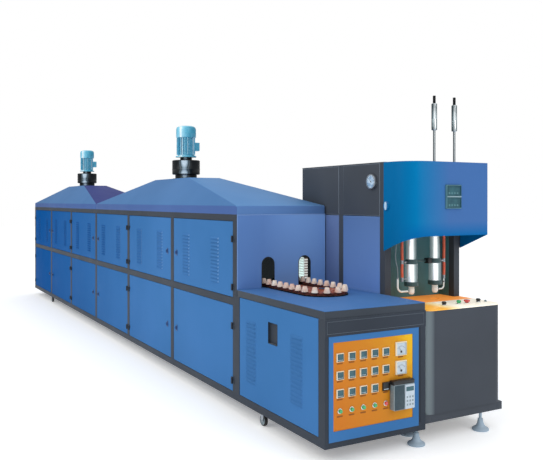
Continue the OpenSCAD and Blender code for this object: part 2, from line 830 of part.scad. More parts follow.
// Dark upper panel and folded blue ring round the instrument plate
module control_frame() {
    color(blue) placed() difference() {
        block([0, ring_y[0], ring_z[0]], [ring_t, ring_y[1], ring_z[1]]);
        block([-1, cut_y[0], cut_z[0]], [ring_t + 1, cut_y[1], cut_z[1]]);
    }
    color(dark) placed() block([0, 0, ring_z[1] + 0.3], [ring_t, oven_w, table_z - skirt_h]);
}

// Places of the controllers, the counter and the buttons on the plate
function ctl_places() = [for (r = [0:2]) for (c = [0:4]) [ctl_y + c * ctl_pitch, row_z[r]]];
function meter_places() = [[cut_y[1] - 90, row_z[0] + 7], [cut_y[1] - 90, row_z[1] - 3]];
function button_place(k) = [ctl_y + k * ctl_pitch, button_z];

// Orange instrument plate with its cut-outs
module control_plate() {
    body = ctl_size - 3;
    color(orange) placed() difference() {
        block([-plate_t2, cut_y[0] - 8, cut_z[0] - 8], [0, cut_y[1] + 8, cut_z[1] + 8]);
        for (p = ctl_places())
            translate([-plate_t2 - 1, p[0] - body / 2, p[1] - body / 2]) cube([plate_t2 + 2, body, body]);
        for (p = meter_places())
            translate([-plate_t2 - 1, p[0], p[1]]) rotate([0, 90, 0]) cylinder(r = 32, h = plate_t2 + 2);
        for (k = [0:4]) translate([-plate_t2 - 1, button_place(k)[0], button_place(k)[1]]) rotate([0, 90, 0])
            cylinder(r = button_r + 2.2, h = plate_t2 + 2);
    }
}

// A square bezel with its sunk face
module bezel(size, out) {
    difference() {
        translate([0, -size / 2, -size / 2]) cube([out, size, size]);
        translate([out - 2, -size / 2 + 4, -size / 2 + 4]) cube([3, size - 8, size - 8]);
    }
}

// A temperature controller: bezel, and the case behind the plate
module controller() {
    body = ctl_size - 3 - 2 * run;
    bezel(ctl_size, 8);
    translate([-60, -body / 2, -body / 2]) cube([61, body, body]);
}

// A fixed push-button sleeve, bored for its cap
module button_sleeve() {
    rotate([0, 90, 0]) rotate_extrude()
        polygon([[0, -collar_in], [button_r + 2, -collar_in], [button_r + 2, 0], [collar_r, 0], [collar_r, collar_h - 2],
            [collar_r - 2, collar_h], [button_r + run, collar_h], [button_r + run, -collar_in + 2], [0, -collar_in + 2]]);
}

// Controllers, the two meters and the button sleeves
module panel_instruments() {
    color(white) placed() {
        for (p = ctl_places()) translate([0, p[0], p[1]]) controller();
        for (p = meter_places()) translate([0, p[0], p[1]]) {
            bezel(meter_size, 10);
            translate([-40, 0, 0]) rotate([0, 90, 0]) cylinder(r = 32 - run, h = 42);
        }
        for (k = [0:4]) translate([0, button_place(k)[0], button_place(k)[1]]) button_sleeve();
    }
}

// A push-button cap in its sleeve
module cap(colour, k) {
    color(colour) placed() translate([-cap_in, button_place(k)[0], button_place(k)[1]]) rotate([0, 90, 0])
        rotate_extrude() polygon([[0, 0], [button_r, 0], [button_r, cap_in + cap_out - 2],
            [button_r - 2, cap_in + cap_out], [0, cap_in + cap_out]]);
}

// Inverter on the plate: grooved case with a raised keypad
module inverter() {
    color([0.35, 0.4, 0.4]) placed() translate([0, inverter_at[0], inverter_at[1]]) difference() {
        union() {
            cube([inverter_d - 6, 150, 170]);
            translate([inverter_d - 7, 70, 12]) cube([7, 74, 146]);
        }
        for (k = [0:6]) translate([8, -1, 15 + k * 22]) cube([inverter_d - 22, 3, 8]);
        translate([inverter_d - 2, 80, 95]) cube([3, 54, 50]);
    }
}

// Places of the casters
function caster_place(k) = [k % 2 == 0 ? -0.7 * table_len : post_x(door_cols - 1) - 130,
    k < 2 ? post_d + 5 : oven_w - post_d - 5];

// Caster forks under the frame, each with its axle
module caster_forks() {
    cheek = 3;
    gap = caster_w / 2 + run;
    rise = floor_gap - 10 - caster_r;
    color(steel) placed() for (k = [0:3]) translate(concat(caster_place(k), 0)) {
        translate([-45, -35, floor_gap - 5]) cube([90, 70, 5]);
        translate([0, 0, floor_gap - 11]) cylinder(r = 24, h = 7);
        translate([-22, -gap - cheek, 2 * caster_r + 2])
            cube([44, 2 * (gap + cheek), floor_gap - 10 - 2 * caster_r - 2]);
        for (side = [-1, 1]) translate([0, side * (gap + cheek / 2) + cheek / 2, caster_r]) rotate([90, 0, 0])
            linear_extrude(cheek) polygon([[-22, rise], [22, rise], [11, -8], [-11, -8]]);
        translate([0, gap + cheek + 3, caster_r]) rotate([90, 0, 0]) cylinder(r = 4, h = 2 * (gap + cheek + 3));
    }
}

module caster_wheel(k) {
    color(black) placed() translate(concat(caster_place(k), caster_r)) rotate([90, 0, 0]) difference() {
        rotate_extrude() polygon([[0, -caster_w / 2], [20, -caster_w / 2], [22, -caster_w / 2 + 3], [30, -caster_w / 2 + 3],
            [31, -caster_w / 2], [caster_r - 4, -caster_w / 2], [caster_r, -caster_w / 2 + 5], [caster_r, caster_w / 2 - 5],
            [caster_r - 4, caster_w / 2], [31, caster_w / 2], [30, caster_w / 2 - 3], [22, caster_w / 2 - 3],
            [20, caster_w / 2], [0, caster_w / 2]]);
        translate([0, 0, -caster_w]) cylinder(r = 4 + fit, h = 2 * caster_w);
    }
}

// A bell-shaped levelling foot with its threaded stem, up to height h
module foot(h) {
    rotate_extrude() polygon([[0, 0], [foot_r, 0], [foot_r, 9], [foot_r - 5, 16], [30, 26], [20, 40], [16, 62], [14, 66],
        [14, 70], [10, 70], [10, h], [0, h]]);
}

function oven_feet() = [[-post_w / 2, oven_w - 44], [post_x(0) - 3 * col_pitch, oven_w - 44], [post_x(door_cols), oven_w - 44]];
function station_feet() = [[-200, st_y0 + 25], [-45, st_mid + 162], [-cabinet_x + 25, st_y0 + 25],
    [-cabinet_x + 25, st_mid + 162]];

module levelling_feet() {
    color([0.6, 0.66, 0.72]) placed() {
        for (p = oven_feet()) translate([p[0], p[1], 0]) foot(floor_gap);
        for (p = station_feet()) translate([p[0], p[1], 0]) foot(st_foot_z);
    }
}

// Welded frame of the blow station, with the two spacers that bolt it to the oven
module station_frame() {
    t = st_tube;
    near_x = -cabinet_near;
    mid_x0 = mid_post_x;
    color(dark) placed() {
        for (x = [-cabinet_x, mid_x0 - t / 2, near_x - t]) for (y = [st_y0, st_y1 - t])
            tube([x, y, st_rail_top], [x + t, y + t, cabinet_h - t], 2);
        for (y = [st_y0, st_y1 - t]) {
            tube([-cabinet_x, y, st_foot_z], [desk_front - 8, y + t, st_rail_top], 0);
            tube([-cabinet_x, y, cabinet_h - t], [near_x, y + t, cabinet_h - 3], 0);
        }
        for (x = [-cabinet_x, mid_x0 - t / 2, near_x - t, desk_front - 8 - t])
            tube([x, st_y0 + t, st_foot_z], [x + t, st_y1 - t, st_rail_top], 1);
        for (x = [-cabinet_x, near_x - t])
            tube([x, st_y0 + t, cabinet_h - t], [x + t, st_y1 - t, cabinet_h - 3], 1);
        for (x = [near_x + 20, desk_front - 110])
            block([x, oven_w + seam, st_foot_z + 3], [x + 40, st_y0 - seam, z_sill - 2]);
    }
}

// Sheet panels of the cabinet, blue below and dark above, with the top cover
module station_panels() {
    t = st_tube;
    s = sheet_t;
    cover_z = cabinet_h - 3;
    mid_x0 = mid_post_x;
    color(blue) placed() {
        for (y = [st_y0 - s, st_y1]) for (z = [[st_foot_z, band_z - 1], [band_z, cover_z - seam]]) {
            block([-cabinet_x, y, z[0]], [mid_x0 - 1, y + s, z[1]]);
            block([mid_x0 + 1, y, z[0]], [-cabinet_near, y + s, z[1]]);
        }
        block([-cabinet_x - s, st_y0 + seam, st_foot_z], [-cabinet_x, st_y1 - seam, cover_z - seam]);
        block([-cabinet_x - s, st_y0 - s, cover_z], [-cabinet_near, st_y1 + s, cabinet_h]);
        block([bay_x, st_y0 + t, bed_z], [bay_x + s, st_y1 - t, cabinet_h - t - 1]);
        for (y = [st_y0 + t, st_y1 - t - s])
            block([bay_x + s + seam, y, bed_z], [-cabinet_near - t, y + s, cabinet_h - t - 1]);
    }
}

// Outline of the head hood seen from above, shrunk by a wall
module hood_outline(wall) {
    w = station_w + 2 * hood_lap;
    difference() {
        translate([-cabinet_near, wall]) square([cabinet_near - hood_front - wall, w - 2 * wall]);
        translate([-hood_front - hood_r, wall - 1]) square([hood_r + 1, hood_r - wall + 1]);
    }
    translate([-hood_front - hood_r, hood_r]) intersection() {
        circle(r = hood_r - wall);
        translate([-1, -hood_r]) square([hood_r + 1, hood_r + 1]);
    }
}

// Sheet hood over the blow heads, open below and behind, sides cut on a slope
module head_hood() {
    t = 3;
    low = hood_edge_z - hood_drop;
    color(blue) placed() difference() {
        translate([0, st_y0 - hood_lap, low]) linear_extrude(head_z - low) hood_outline(0);
        translate([0, st_y0 - hood_lap, low - 1]) linear_extrude(head_z - low - t + 1) union() {
            hood_outline(t);
            translate([-cabinet_near - 1, t]) square([4, station_w + 2 * hood_lap - 2 * t]);
        }
        translate([0, st_y1 + 40, 0]) rotate([90, 0, 0]) linear_extrude(station_w + 80)
            polygon([[-cabinet_near, low - 5], [-hood_front + 1, low - 5], [-hood_front + 1, hood_edge_z],
                [-hood_front, hood_edge_z], [-cabinet_near, low]]);
        for (y = stop_y) translate([-stop_x, y, head_z - 10]) cylinder(r = rod_bore_r + 4, h = 20);
    }
}

// Pressure gauge, two timers and the small dial on the head hood
module head_instruments() {
    hood_y = st_y0 - hood_lap;
    color(white) placed() {
        translate([-525, st_y0 - sheet_t, cabinet_h - 126]) rotate([90, 0, 0]) rotate_extrude()
            polygon([[0, 0], [50, 0], [50, 18], [45, 22], [43, 22], [43, 17], [0, 17]]);
        translate([-370, hood_y, cabinet_h - 287]) rotate([90, 0, 0]) rotate_extrude()
            polygon([[0, 0], [29, 0], [29, 10], [26, 13], [23, 13], [23, 9], [0, 9]]);
        for (z = [cabinet_h - 266, cabinet_h - 189]) translate([-hood_front, st_y0 + 353, z]) difference() {
            translate([0, -65, -38]) cube([10, 130, 76]);
            translate([8, -58, -31]) cube([3, 116, 62]);
        }
    }
}

// Outline of the desk seen from above, shrunk by a wall
module desk_outline(wall) {
    for (y = [desk_r, station_w - desk_r]) translate([desk_front - desk_r, y]) circle(r = desk_r - wall);
    translate([-desk_back, wall]) square([desk_back + desk_front - desk_r, station_w - 2 * wall]);
    translate([-desk_back, desk_r]) square([desk_back + desk_front - wall, station_w - 2 * desk_r]);
}

// Control desk shell, open behind, with its top plate
module control_desk() {
    color(dark) placed() translate([0, st_y0, 0]) difference() {
        translate([0, 0, st_rail_top]) linear_extrude(bed_z - desk_top_t - st_rail_top) desk_outline(0);
        translate([-2, 0, st_rail_top - 1]) linear_extrude(bed_z - desk_top_t - st_rail_top + 2) desk_outline(sheet_t);
    }
    color([0.95, 0.82, 0.5]) placed() translate([0, st_y0, 0]) difference() {
        translate([0, 0, bed_z - desk_top_t]) linear_extrude(desk_top_t) desk_outline(-4);
        for (p = desk_places()) translate([p[0], p[1], bed_z - desk_top_t - 1]) cylinder(r = button_r + 2.2, h = 20);
    }
    color(black) placed() {
        for (p = desk_places()) translate([p[0], p[1] + st_y0, bed_z]) rotate([0, -90, 0]) button_sleeve();
        translate([-120, st_y1 - 40, bed_z]) cylinder(r = 9, h = 12);
    }
}

// Places of the desk buttons, from the desk's left side
function desk_places() = [[-120, 250], [-120, 375], [-120, 445], [-120, 545]];

// A desk button cap with a head of radius r
module desk_cap(colour, k, r, out) {
    color(colour) placed() translate([desk_places()[k][0], desk_places()[k][1] + st_y0, bed_z - cap_in])
        rotate_extrude() polygon([[0, 0], [button_r, 0], [button_r, cap_in + out], [r, cap_in + out],
            [r, cap_in + out + 8], [r - 4, cap_in + out + 12], [0, cap_in + out + 13]]);
}

// Orange bed plate with a necking hole over each cavity
module bed_plate() {
    color(orange) placed() difference() {
        block([bay_x + sheet_t + run, st_y0, bed_z - bed_t], [-desk_back - 5, st_y1, bed_z]);
        for (y = head_y) {
            translate([-head_x, y, bed_z - bed_t - 1]) cylinder(r = 30, h = bed_t + 2);
            block([-head_x, y - 30, bed_z - bed_t - 1], [-head_x + 20, y + 30, bed_z + 1]);
        }
        for (y = [st_y0 - 1, st_y1 - st_tube]) block([-cabinet_near - st_tube - 1, y, bed_z - bed_t - 1], [-cabinet_near + 1, y + st_tube + 1, bed_z + 1]);
    }
}

// Two blow cylinders hung from the head plate
module blow_cylinders() {
    bore = 20 + fit;
    color(steel) placed() {
        for (y = head_y) translate([-head_x, y, 0]) difference() {
            rotate_extrude() polygon([[rod_bore_r, tube_z + 40], [bore, tube_z + 40], [bore, flange_z],
                [lower_tube_r + 5, flange_z], [lower_tube_r + 5, tube_z], [lower_tube_r, tube_z],
                [lower_tube_r, collar_z], [lower_tube_r - 3, collar_z], [lower_tube_r - 3, upper_tube_z],
                [upper_tube_r, upper_tube_z], [upper_tube_r, head_plate_z - seam], [rod_bore_r, head_plate_z - seam]]);
        }
        difference() {
            block([-cabinet_near - st_tube + seam, st_y0 + st_tube, head_plate_z],
                [-head_x + 60, st_y1 - st_tube, head_plate_z + head_plate_t]);
            for (y = head_y) translate([-head_x, y, head_plate_z - 1]) cylinder(r = rod_r + fit, h = head_plate_t + 2);
        }
    }
}

// Two blow nozzles on one air supply; both come down together
module blow_nozzles() {
    color(white) placed() for (k = [0, 1]) translate([-head_x, head_y[k], 0]) {
        rotate_extrude() polygon([[rod_bore_r, nozzle_z], [13, nozzle_z], [20, nozzle_z + 10],
            [20, tube_z + 40 - run], [rod_bore_r, tube_z + 40 - run]]);
        mirror([0, 1 - k, 0]) blow_line();
    }
}

// White J-shaped blow line from a nozzle's side out and up into the hose fitting
module blow_line() {
    bend = 24;
    z = nozzle_z + 22;
    translate([0, 18, z]) rotate([-90, 0, 0]) cylinder(r = blow_line_r, h = hose_off - bend - 18);
    translate([0, hose_off - bend, z + bend]) rotate([0, 90, 0]) rotate_extrude(angle = 90) translate([bend, 0])
        circle(r = blow_line_r);
    translate([0, hose_off, z + bend]) cylinder(r = blow_line_r, h = port_z + 24 - run - z - bend);
}

// A stretch rod in its blow cylinder, the crosshead that carries it, and the
// stop rod that stands on the crosshead with its sleeve and threaded end
module stretch_rod(k) {
    reach = [head_x - stop_x, stop_y[k] - head_y[k]];
    color(steel) placed() {
        translate([-head_x, head_y[k], rod_low]) cylinder(r = rod_r, h = crosshead_z + 1 - rod_low);
        translate([-head_x, head_y[k], crosshead_z]) rotate(atan2(reach[1], reach[0])) linear_extrude(crosshead_t)
            slot_shape(norm(reach), 44);
        translate([-stop_x, stop_y[k], 0]) rotate_extrude()
            polygon([[0, crosshead_z + 1], [rod_r, crosshead_z + 1], [rod_r, sleeve_z], [18, sleeve_z], [18, sleeve_top],
                [10, sleeve_top], [10, rod_top - 2], [8, rod_top], [0, rod_top]]);
    }
}

// Red air hoses from the head plate down past each cylinder, with their fittings
module air_hoses() {
    color([0.85, 0.35, 0.3]) placed() for (k = [0, 1]) {
        side = k == 0 ? -1 : 1;
        translate([-head_x, head_y[k] + side * hose_off, 0]) {
            translate([0, 0, joint_z + 12]) cylinder(r = hose_r, h = head_plate_z - joint_z - 12 - seam);
            translate([0, 0, joint_z - 12]) cylinder(r = hose_r + 3, h = 25);
            translate([0, 0, port_z + 26]) cylinder(r = hose_r, h = joint_z - 11 - port_z - 26);
            difference() {
                translate([0, 0, port_z]) cylinder(r = hose_r + 3, h = 27);
                translate([0, 0, port_z - 1]) cylinder(r = blow_line_r + run, h = 26);
            }
            translate([0, -side * (hose_r + 1), joint_z]) rotate([side * 90, 0, 0])
                cylinder(r = 6, h = hose_off - hose_r - 1 - lower_tube_r + 3 - seam);
        }
    }
}

// Fixed clamp parts: rails, front and rear platens, tie bars, mould half, cylinder
module clamp_frame() {
    front = mould_split + mould_t;
    y0 = st_mid - platen_w / 2;
    color(steel) placed() {
        for (y = [st_mid - rail_y - rail_w, st_mid + rail_y])
            block([rear_plate_x, y, st_rail_top + seam], [desk_front - 60, y + rail_w, clamp_z - seam]);
        block([front, y0, clamp_z], [front + platen_t, y0 + platen_w, clamp_z + platen_h]);
        block([mould_split + run / 2, st_mid - mould_w / 2, mould_top - mould_h],
            [front - seam, st_mid + mould_w / 2, mould_top]);
        difference() {
            block([rear_plate_x, y0, clamp_z], [rear_plate_x + platen_t, y0 + platen_w, clamp_z + platen_h]);
            translate([rear_plate_x - 1, st_mid, clamp_z + platen_h / 2]) rotate([0, 90, 0])
                cylinder(r = clamp_rod_r + fit, h = platen_t + 2);
        }
        for (y = [st_mid - tie_y, st_mid + tie_y]) for (z = [60, platen_h - 60])
            translate([rear_plate_x + platen_t + seam, y, clamp_z + z]) rotate([0, 90, 0])
                cylinder(r = tie_r, h = front - rear_plate_x - platen_t - 2 * seam);
        translate([rear_plate_x - cylinder_l, st_mid, clamp_z + platen_h / 2]) rotate([0, 90, 0]) difference() {
            cylinder(r = 70, h = cylinder_l - seam);
            translate([0, 0, 20]) cylinder(r = 60, h = cylinder_l);
        }
    }
}

// Moving platen with its mould half, tie-bar bores and the clamp rod
module moving_platen() {
    back = mould_split - mould_t;
    y0 = st_mid - platen_w / 2;
    rod_z = clamp_z + platen_h / 2;
    color(steel) placed() {
        difference() {
            union() {
                block([back - platen_t, y0, clamp_z + run], [back, y0 + platen_w, clamp_z + platen_h]);
                block([back - 1, st_mid - mould_w / 2, mould_top - mould_h], [mould_split - run / 2, st_mid + mould_w / 2, mould_top]);
                translate([rear_plate_x - 30, st_mid, rod_z]) rotate([0, 90, 0])
                    cylinder(r = clamp_rod_r, h = back - platen_t - rear_plate_x + 31);
                translate([rear_plate_x - 45, st_mid, rod_z]) rotate([0, 90, 0]) cylinder(r = 59.9, h = 30);
            }
            for (y = [st_mid - tie_y, st_mid + tie_y]) for (z = [60, platen_h - 60])
                translate([back - platen_t - 1, y, clamp_z + z]) rotate([0, 90, 0]) cylinder(r = tie_r + fit, h = platen_t + 2);
        }
    }
}

oven_frame();
oven_panels();
end_wall();
roof_hoods();
decks();
table_side_panel();
upper_door(1);  // door_upper_1
upper_door(2);  // door_upper_2
upper_door(3);  // door_upper_3
upper_door(4);  // door_upper_4
upper_door(5);  // door_upper_5
upper_door(6);  // door_upper_6
lower_door(1);  // door_lower_1
lower_door(2);  // door_lower_2
lower_door(3);  // door_lower_3
lower_door(4);  // door_lower_4
lower_door(5);  // door_lower_5
lower_door(6);  // door_lower_6
heater_banks();
fan_housings();
fan_motors();
fan_rotor(0);  // fan_rotor_far
fan_rotor(1);  // fan_rotor_near
chain_track();
carrier_chain();
return_wheel();
drive_sprocket();
chain_drive();
control_frame();
control_plate();
panel_instruments();
inverter();
cap("green", 0);  // button_green_1
cap("green", 1);  // button_green_2
cap("green", 2);  // button_green_3
cap("green", 3);  // button_green_4
cap("red", 4);  // button_red
caster_forks();
caster_wheel(0);  // caster_wheel_1
caster_wheel(1);  // caster_wheel_2
caster_wheel(2);  // caster_wheel_3
caster_wheel(3);  // caster_wheel_4
levelling_feet();
station_frame();
station_panels();
head_hood();
head_instruments();
control_desk();
bed_plate();
blow_cylinders();
blow_nozzles();
air_hoses();
stretch_rod(0);  // stretch_rod_left
stretch_rod(1);  // stretch_rod_right
clamp_frame();
moving_platen();
desk_cap("black", 0, 15, 12);  // desk_button_black
desk_cap("green", 1, 15, 12);  // desk_button_green
desk_cap("red", 2, 20, 12);  // desk_stop_button
desk_cap("black", 3, 15, 12);  // desk_button_cycle
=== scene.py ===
import math

import bmesh
import bpy
from mathutils import Matrix, Vector


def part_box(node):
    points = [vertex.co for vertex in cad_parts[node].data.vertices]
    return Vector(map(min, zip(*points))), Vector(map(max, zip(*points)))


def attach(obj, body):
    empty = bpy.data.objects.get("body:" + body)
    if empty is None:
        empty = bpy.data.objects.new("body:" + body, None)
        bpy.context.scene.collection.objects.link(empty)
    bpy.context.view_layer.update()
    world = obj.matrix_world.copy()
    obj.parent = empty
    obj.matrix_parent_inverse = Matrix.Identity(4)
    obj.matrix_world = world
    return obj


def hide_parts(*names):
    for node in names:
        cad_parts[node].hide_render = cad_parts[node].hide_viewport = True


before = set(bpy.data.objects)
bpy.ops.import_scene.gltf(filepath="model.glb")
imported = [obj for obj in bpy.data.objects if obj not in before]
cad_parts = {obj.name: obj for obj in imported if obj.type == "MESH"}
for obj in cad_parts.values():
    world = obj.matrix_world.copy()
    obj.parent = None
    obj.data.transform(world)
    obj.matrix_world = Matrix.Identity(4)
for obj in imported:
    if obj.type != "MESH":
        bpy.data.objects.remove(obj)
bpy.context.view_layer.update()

# ---------------------------------------------------------------- camera
# A three-quarter view along the door side towards the control face, at the
# photograph's eye height; the shift lowers the horizon as in the photograph.
eye_height = 1.46
camera = bpy.data.objects.new("camera", bpy.data.cameras.new("camera"))
camera.data.sensor_width = 36
camera.data.lens = 46.48
camera.data.shift_y = -0.0534
camera.data.clip_end = 60
camera.location = (7.3518, -2.815, eye_height)
camera.rotation_euler = (math.radians(90), 0, math.radians(60.9))
bpy.context.scene.collection.objects.link(camera)
bpy.context.scene.camera = camera
bpy.context.scene.view_settings.view_transform = "Standard"

# ---------------------------------------------------------------- studio
# A seamless pale floor of painted board under even white light, with one
# large soft lamp over the door side and a weaker one before the control face.


def srgb(code):
    """The linear colour of a hex value such as '4a7ab5'."""
    values = [int(code[k : k + 2], 16) / 255 for k in (0, 2, 4)]
    return [v / 12.92 if v <= 0.04045 else ((v + 0.055) / 1.055) ** 2.4 for v in values] + [1]


def add_node(material, kind, sockets=None, stops=(), **settings):
    """Adds one shader node with its settings; a socket gets a value or a link, a ramp its stops."""
    node = material.node_tree.nodes.new("ShaderNode" + kind)
    for name, value in settings.items():
        setattr(node, name, value)
    for name, value in (sockets or {}).items():
        if isinstance(value, bpy.types.NodeSocket):
            material.node_tree.links.new(value, node.inputs[name])
        else:
            node.inputs[name].default_value = value
    for k, (position, code) in enumerate([*stops[:1], *stops[-1:], *stops[1:-1]]):
        stop = node.color_ramp.elements[k] if k < 2 else node.color_ramp.elements.new(position)
        stop.position, stop.color = position, srgb(code)
    return node


def new_finish(name, roughness, metallic=0.0, **sockets):
    """A material with its Principled shader, ready for colour and bump."""
    material = bpy.data.materials.new(name)
    material.use_nodes = True
    shader = material.node_tree.nodes["Principled BSDF"]
    shader.inputs["Roughness"].default_value = roughness
    shader.inputs["Metallic"].default_value = metallic
    for socket, value in sockets.items():
        shader.inputs[socket.replace("_", " ")].default_value = value
    return material, shader


def join_nodes(material, source, target):
    """Links an output to a shader's socket."""
    material.node_tree.links.new(source, target)


# matt board, near white: it shows only the soft shadow under the machine
floor_board, shader = new_finish("floor_board", 0.6, Emission_Color=srgb("ffffff"), Emission_Strength=0.27)
clouds = add_node(floor_board, "TexNoise", {"Scale": 0.6, "Detail": 2.0})
tones = add_node(floor_board, "ValToRGB", {"Fac": clouds.outputs["Fac"]}, [(0, "fafbfb"), (1, "fefefe")])
join_nodes(floor_board, tones.outputs["Color"], shader.inputs["Base Color"])
bpy.ops.mesh.primitive_plane_add(size=70, location=(0, 0, -0.001))
floor = bpy.context.object
floor.name = "studio_floor"
floor.data.materials.append(floor_board)

# a white backdrop; what falls on the machine is dimmer low down, as from a ceiling of lamps
world = bpy.data.worlds.new("studio")
world.use_nodes = True
backdrop = world.node_tree.nodes["Background"]
backdrop.inputs["Color"].default_value = srgb("ffffff")
backdrop.inputs["Strength"].default_value = 1.0
height = add_node(world, "SeparateXYZ", {"Vector": add_node(world, "TexCoord").outputs["Generated"]})
fall = {"Value": height.outputs["Z"], "From Min": -0.05, "From Max": 0.7, "To Min": 0.2, "To Max": 1.0}
glow = add_node(world, "MapRange", fall)
ceiling = add_node(world, "Background", {"Color": srgb("fbfdff"), "Strength": glow.outputs[0]})
sight = add_node(world, "LightPath").outputs["Is Camera Ray"]
studio = add_node(world, "MixShader", {0: sight, 1: ceiling.outputs[0], 2: backdrop.outputs[0]})
join_nodes(world, studio.outputs[0], world.node_tree.nodes["World Output"].inputs["Surface"])
bpy.context.scene.world = world

for name, place, target, size, power, colour in (
    ("door_side_lamp", (2.0, -7.5, 6.5), (0.5, 0, 0.8), 5.0, 250, "fffdf8"),
    ("face_lamp", (9.5, 1.5, 4.5), (3.8, 0, 0.8), 3.5, 110, "fbfcff"),
):
    lamp = bpy.data.objects.new(name, bpy.data.lights.new(name, "AREA"))
    lamp.data.size = size
    lamp.data.energy = power
    lamp.data.color = srgb(colour)[:3]
    lamp.location = place
    lamp.rotation_euler = (Vector(target) - Vector(place)).to_track_quat("-Z", "Y").to_euler()
    bpy.context.scene.collection.objects.link(lamp)

# ---------------------------------------------------------------- frame
# Rectangular steel tube, welded and sprayed with dark grey enamel that dulls
# on top; the lift-off hinge halves are welded to the posts and sprayed too.


def enamel(name, light, deep, specular=0.5, roughness=0.45, dust=0.25, toward=(), **sockets):
    """Sprayed enamel on sheet: clouds of tone, gradients towards other tones that paint in light and shade, orange
    peel, dust on top.
    """
    material, shader = new_finish(name, roughness, Specular_IOR_Level=specular, **sockets)
    place = add_node(material, "TexCoord").outputs["Object"]
    # the sprayed coat varies in clouds about a metre across
    clouds = add_node(material, "TexNoise", {"Vector": place, "Scale": 1.1, "Detail": 3.0})
    tones = add_node(material, "ValToRGB", {"Fac": clouds.outputs["Fac"]}, [(0.3, deep), (0.72, light)])
    tone = tones.outputs["Color"]
    split = add_node(material, "SeparateXYZ", {"Vector": place})
    for axis, begin, end, code in toward:
        run = {"Value": split.outputs[axis], "From Min": begin, "From Max": end}
        along = add_node(material, "MapRange", run).outputs[0]
        tone = add_node(material, "Mix", {0: along, 6: tone, 7: srgb(code)}, data_type="RGBA").outputs[2]
    # dust lies only where a face looks up, in drifts about 150 mm across
    drift = add_node(material, "TexNoise", {"Vector": place, "Scale": 6.5, "Detail": 5.0})
    up = add_node(material, "SeparateXYZ", {"Vector": add_node(material, "NewGeometry").outputs["Normal"]})
    slope = {"Value": up.outputs["Z"], "From Min": 0.35, "From Max": 1.0, "To Max": dust}
    rise = add_node(material, "MapRange", slope)
    amount = add_node(material, "Math", {0: rise.outputs[0], 1: drift.outputs["Fac"]}, operation="MULTIPLY")
    dusty = {0: amount.outputs[0], 6: tone, 7: srgb("c9cdd2")}
    colour = add_node(material, "Mix", dusty, data_type="RGBA")
    join_nodes(material, colour.outputs[2], shader.inputs["Base Color"])
    # orange peel is about 2 mm wide; it is drawn at 6 mm so that it shows
    peel = add_node(material, "TexNoise", {"Vector": place, "Scale": 160.0, "Detail": 1.0})
    spread = {"Value": drift.outputs["Fac"], "To Min": roughness - 0.06, "To Max": roughness + 0.1}
    smear = add_node(material, "MapRange", spread)
    join_nodes(material, smear.outputs[0], shader.inputs["Roughness"])
    bump = add_node(material, "Bump", {"Height": peel.outputs["Fac"], "Distance": 0.0006, "Strength": 0.35})
    join_nodes(material, bump.outputs["Normal"], shader.inputs["Normal"])
    return material


def paint(node, material):
    """Gives a CAD node its finish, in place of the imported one."""
    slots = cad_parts[node].data.materials
    slots.clear()
    slots.append(material)


# stoved charcoal enamels: satin, without a white veil at a grazing look
dark_enamel = enamel("dark_grey_enamel", "474d56", "3c4149", 0.15)
frame_enamel = enamel("dark_frame_enamel", "3a414b", "323841", 0.08)
paint("oven_frame", frame_enamel)
paint("station_frame", dark_enamel)

# ---------------------------------------------------------------- doors
# Twelve doors folded from 2 mm sheet with rolled edges, six with two columns
# of pressed louvres, sprayed mid blue and hung on lift-off hinge halves.
# The blue is painted deeper towards the far end as painted shade, as in the photograph; the
# louvres' ends and lips are painted paler as painted highlights, and the handles are navy moulded plastic.
blue_enamel = enamel("blue_sheet_enamel", "4577b0", "3c6ea3", 0.003, dust=0.08, toward=[("X", 1.6, -3.6, "005095")])
edge_enamel = enamel("painted_highlight_edge_enamel", "8fb3dc", "7ba1cf", 0.01, 0.4, 0.0, [("X", 2.6, -0.6, "225f9f")])
lip_enamel = enamel("louvre_lip_painted_highlight", "4c80bb", "4276ae", 0.01, 0.4, 0.0, [("X", 2.6, -0.6, "0b5197")])
navy_plastic = enamel("navy_handle_plastic", "2b4c80", "223f6e", roughness=0.3, dust=0.1)
door_depth = 0.022
sheet_gauge = 0.002
louvre_wide, louvre_pitch = 0.135, 0.026
slit_wide = louvre_wide - 0.006
hinge_height = 0.022
hinge_reach = 0.0085
# where things sit on a door, as shares of its width or height
louvres_across, louvres_up, louvre_count = (0.27, 0.76), 0.145, 13
hinges_up = (0.09, 0.725)
handle_in, handle_up = 0.071, 0.46


def mm(*values):
    """Millimetres as metres."""
    return Vector([value / 1000 for value in values])


def start(kind, name, **settings):
    """Adds a primitive with nothing else selected, and applies its placing."""
    bpy.ops.object.select_all(action="DESELECT")
    getattr(bpy.ops.mesh, f"primitive_{kind}_add")(**settings)
    bpy.ops.object.transform_apply(location=True, rotation=True, scale=True)
    bpy.context.object.name = name
    return bpy.context.object


def start_box(name, lo, hi):
    """A cube stretched between two corners, in metres."""
    lo, hi = Vector(lo), Vector(hi)
    return start("cube", name, size=1, location=(lo + hi) / 2, scale=hi - lo)


def edit(on=True):
    """Opens the active piece for editing with all of it selected, or closes it."""
    bpy.ops.object.mode_set(mode="EDIT" if on else "OBJECT")
    if on:
        bpy.ops.mesh.select_mode(type="VERT")
        bpy.ops.mesh.select_all(action="SELECT")


def pick(test, part="FACE"):
    """In edit mode, selects the faces or edges whose middle and direction pass a test."""
    mesh = bmesh.from_edit_mesh(bpy.context.object.data)
    bpy.ops.mesh.select_mode(type=part)
    bpy.ops.mesh.select_all(action="DESELECT")
    if part == "FACE":
        for face in mesh.faces:
            face.select_set(test(face.calc_center_median(), face.normal))
    else:
        for edge in mesh.edges:
            a, b = edge.verts[0].co, edge.verts[1].co
            if test((a + b) / 2, (b - a).normalized()):
                edge.select_set(True)
    bmesh.update_edit_mesh(bpy.context.object.data)


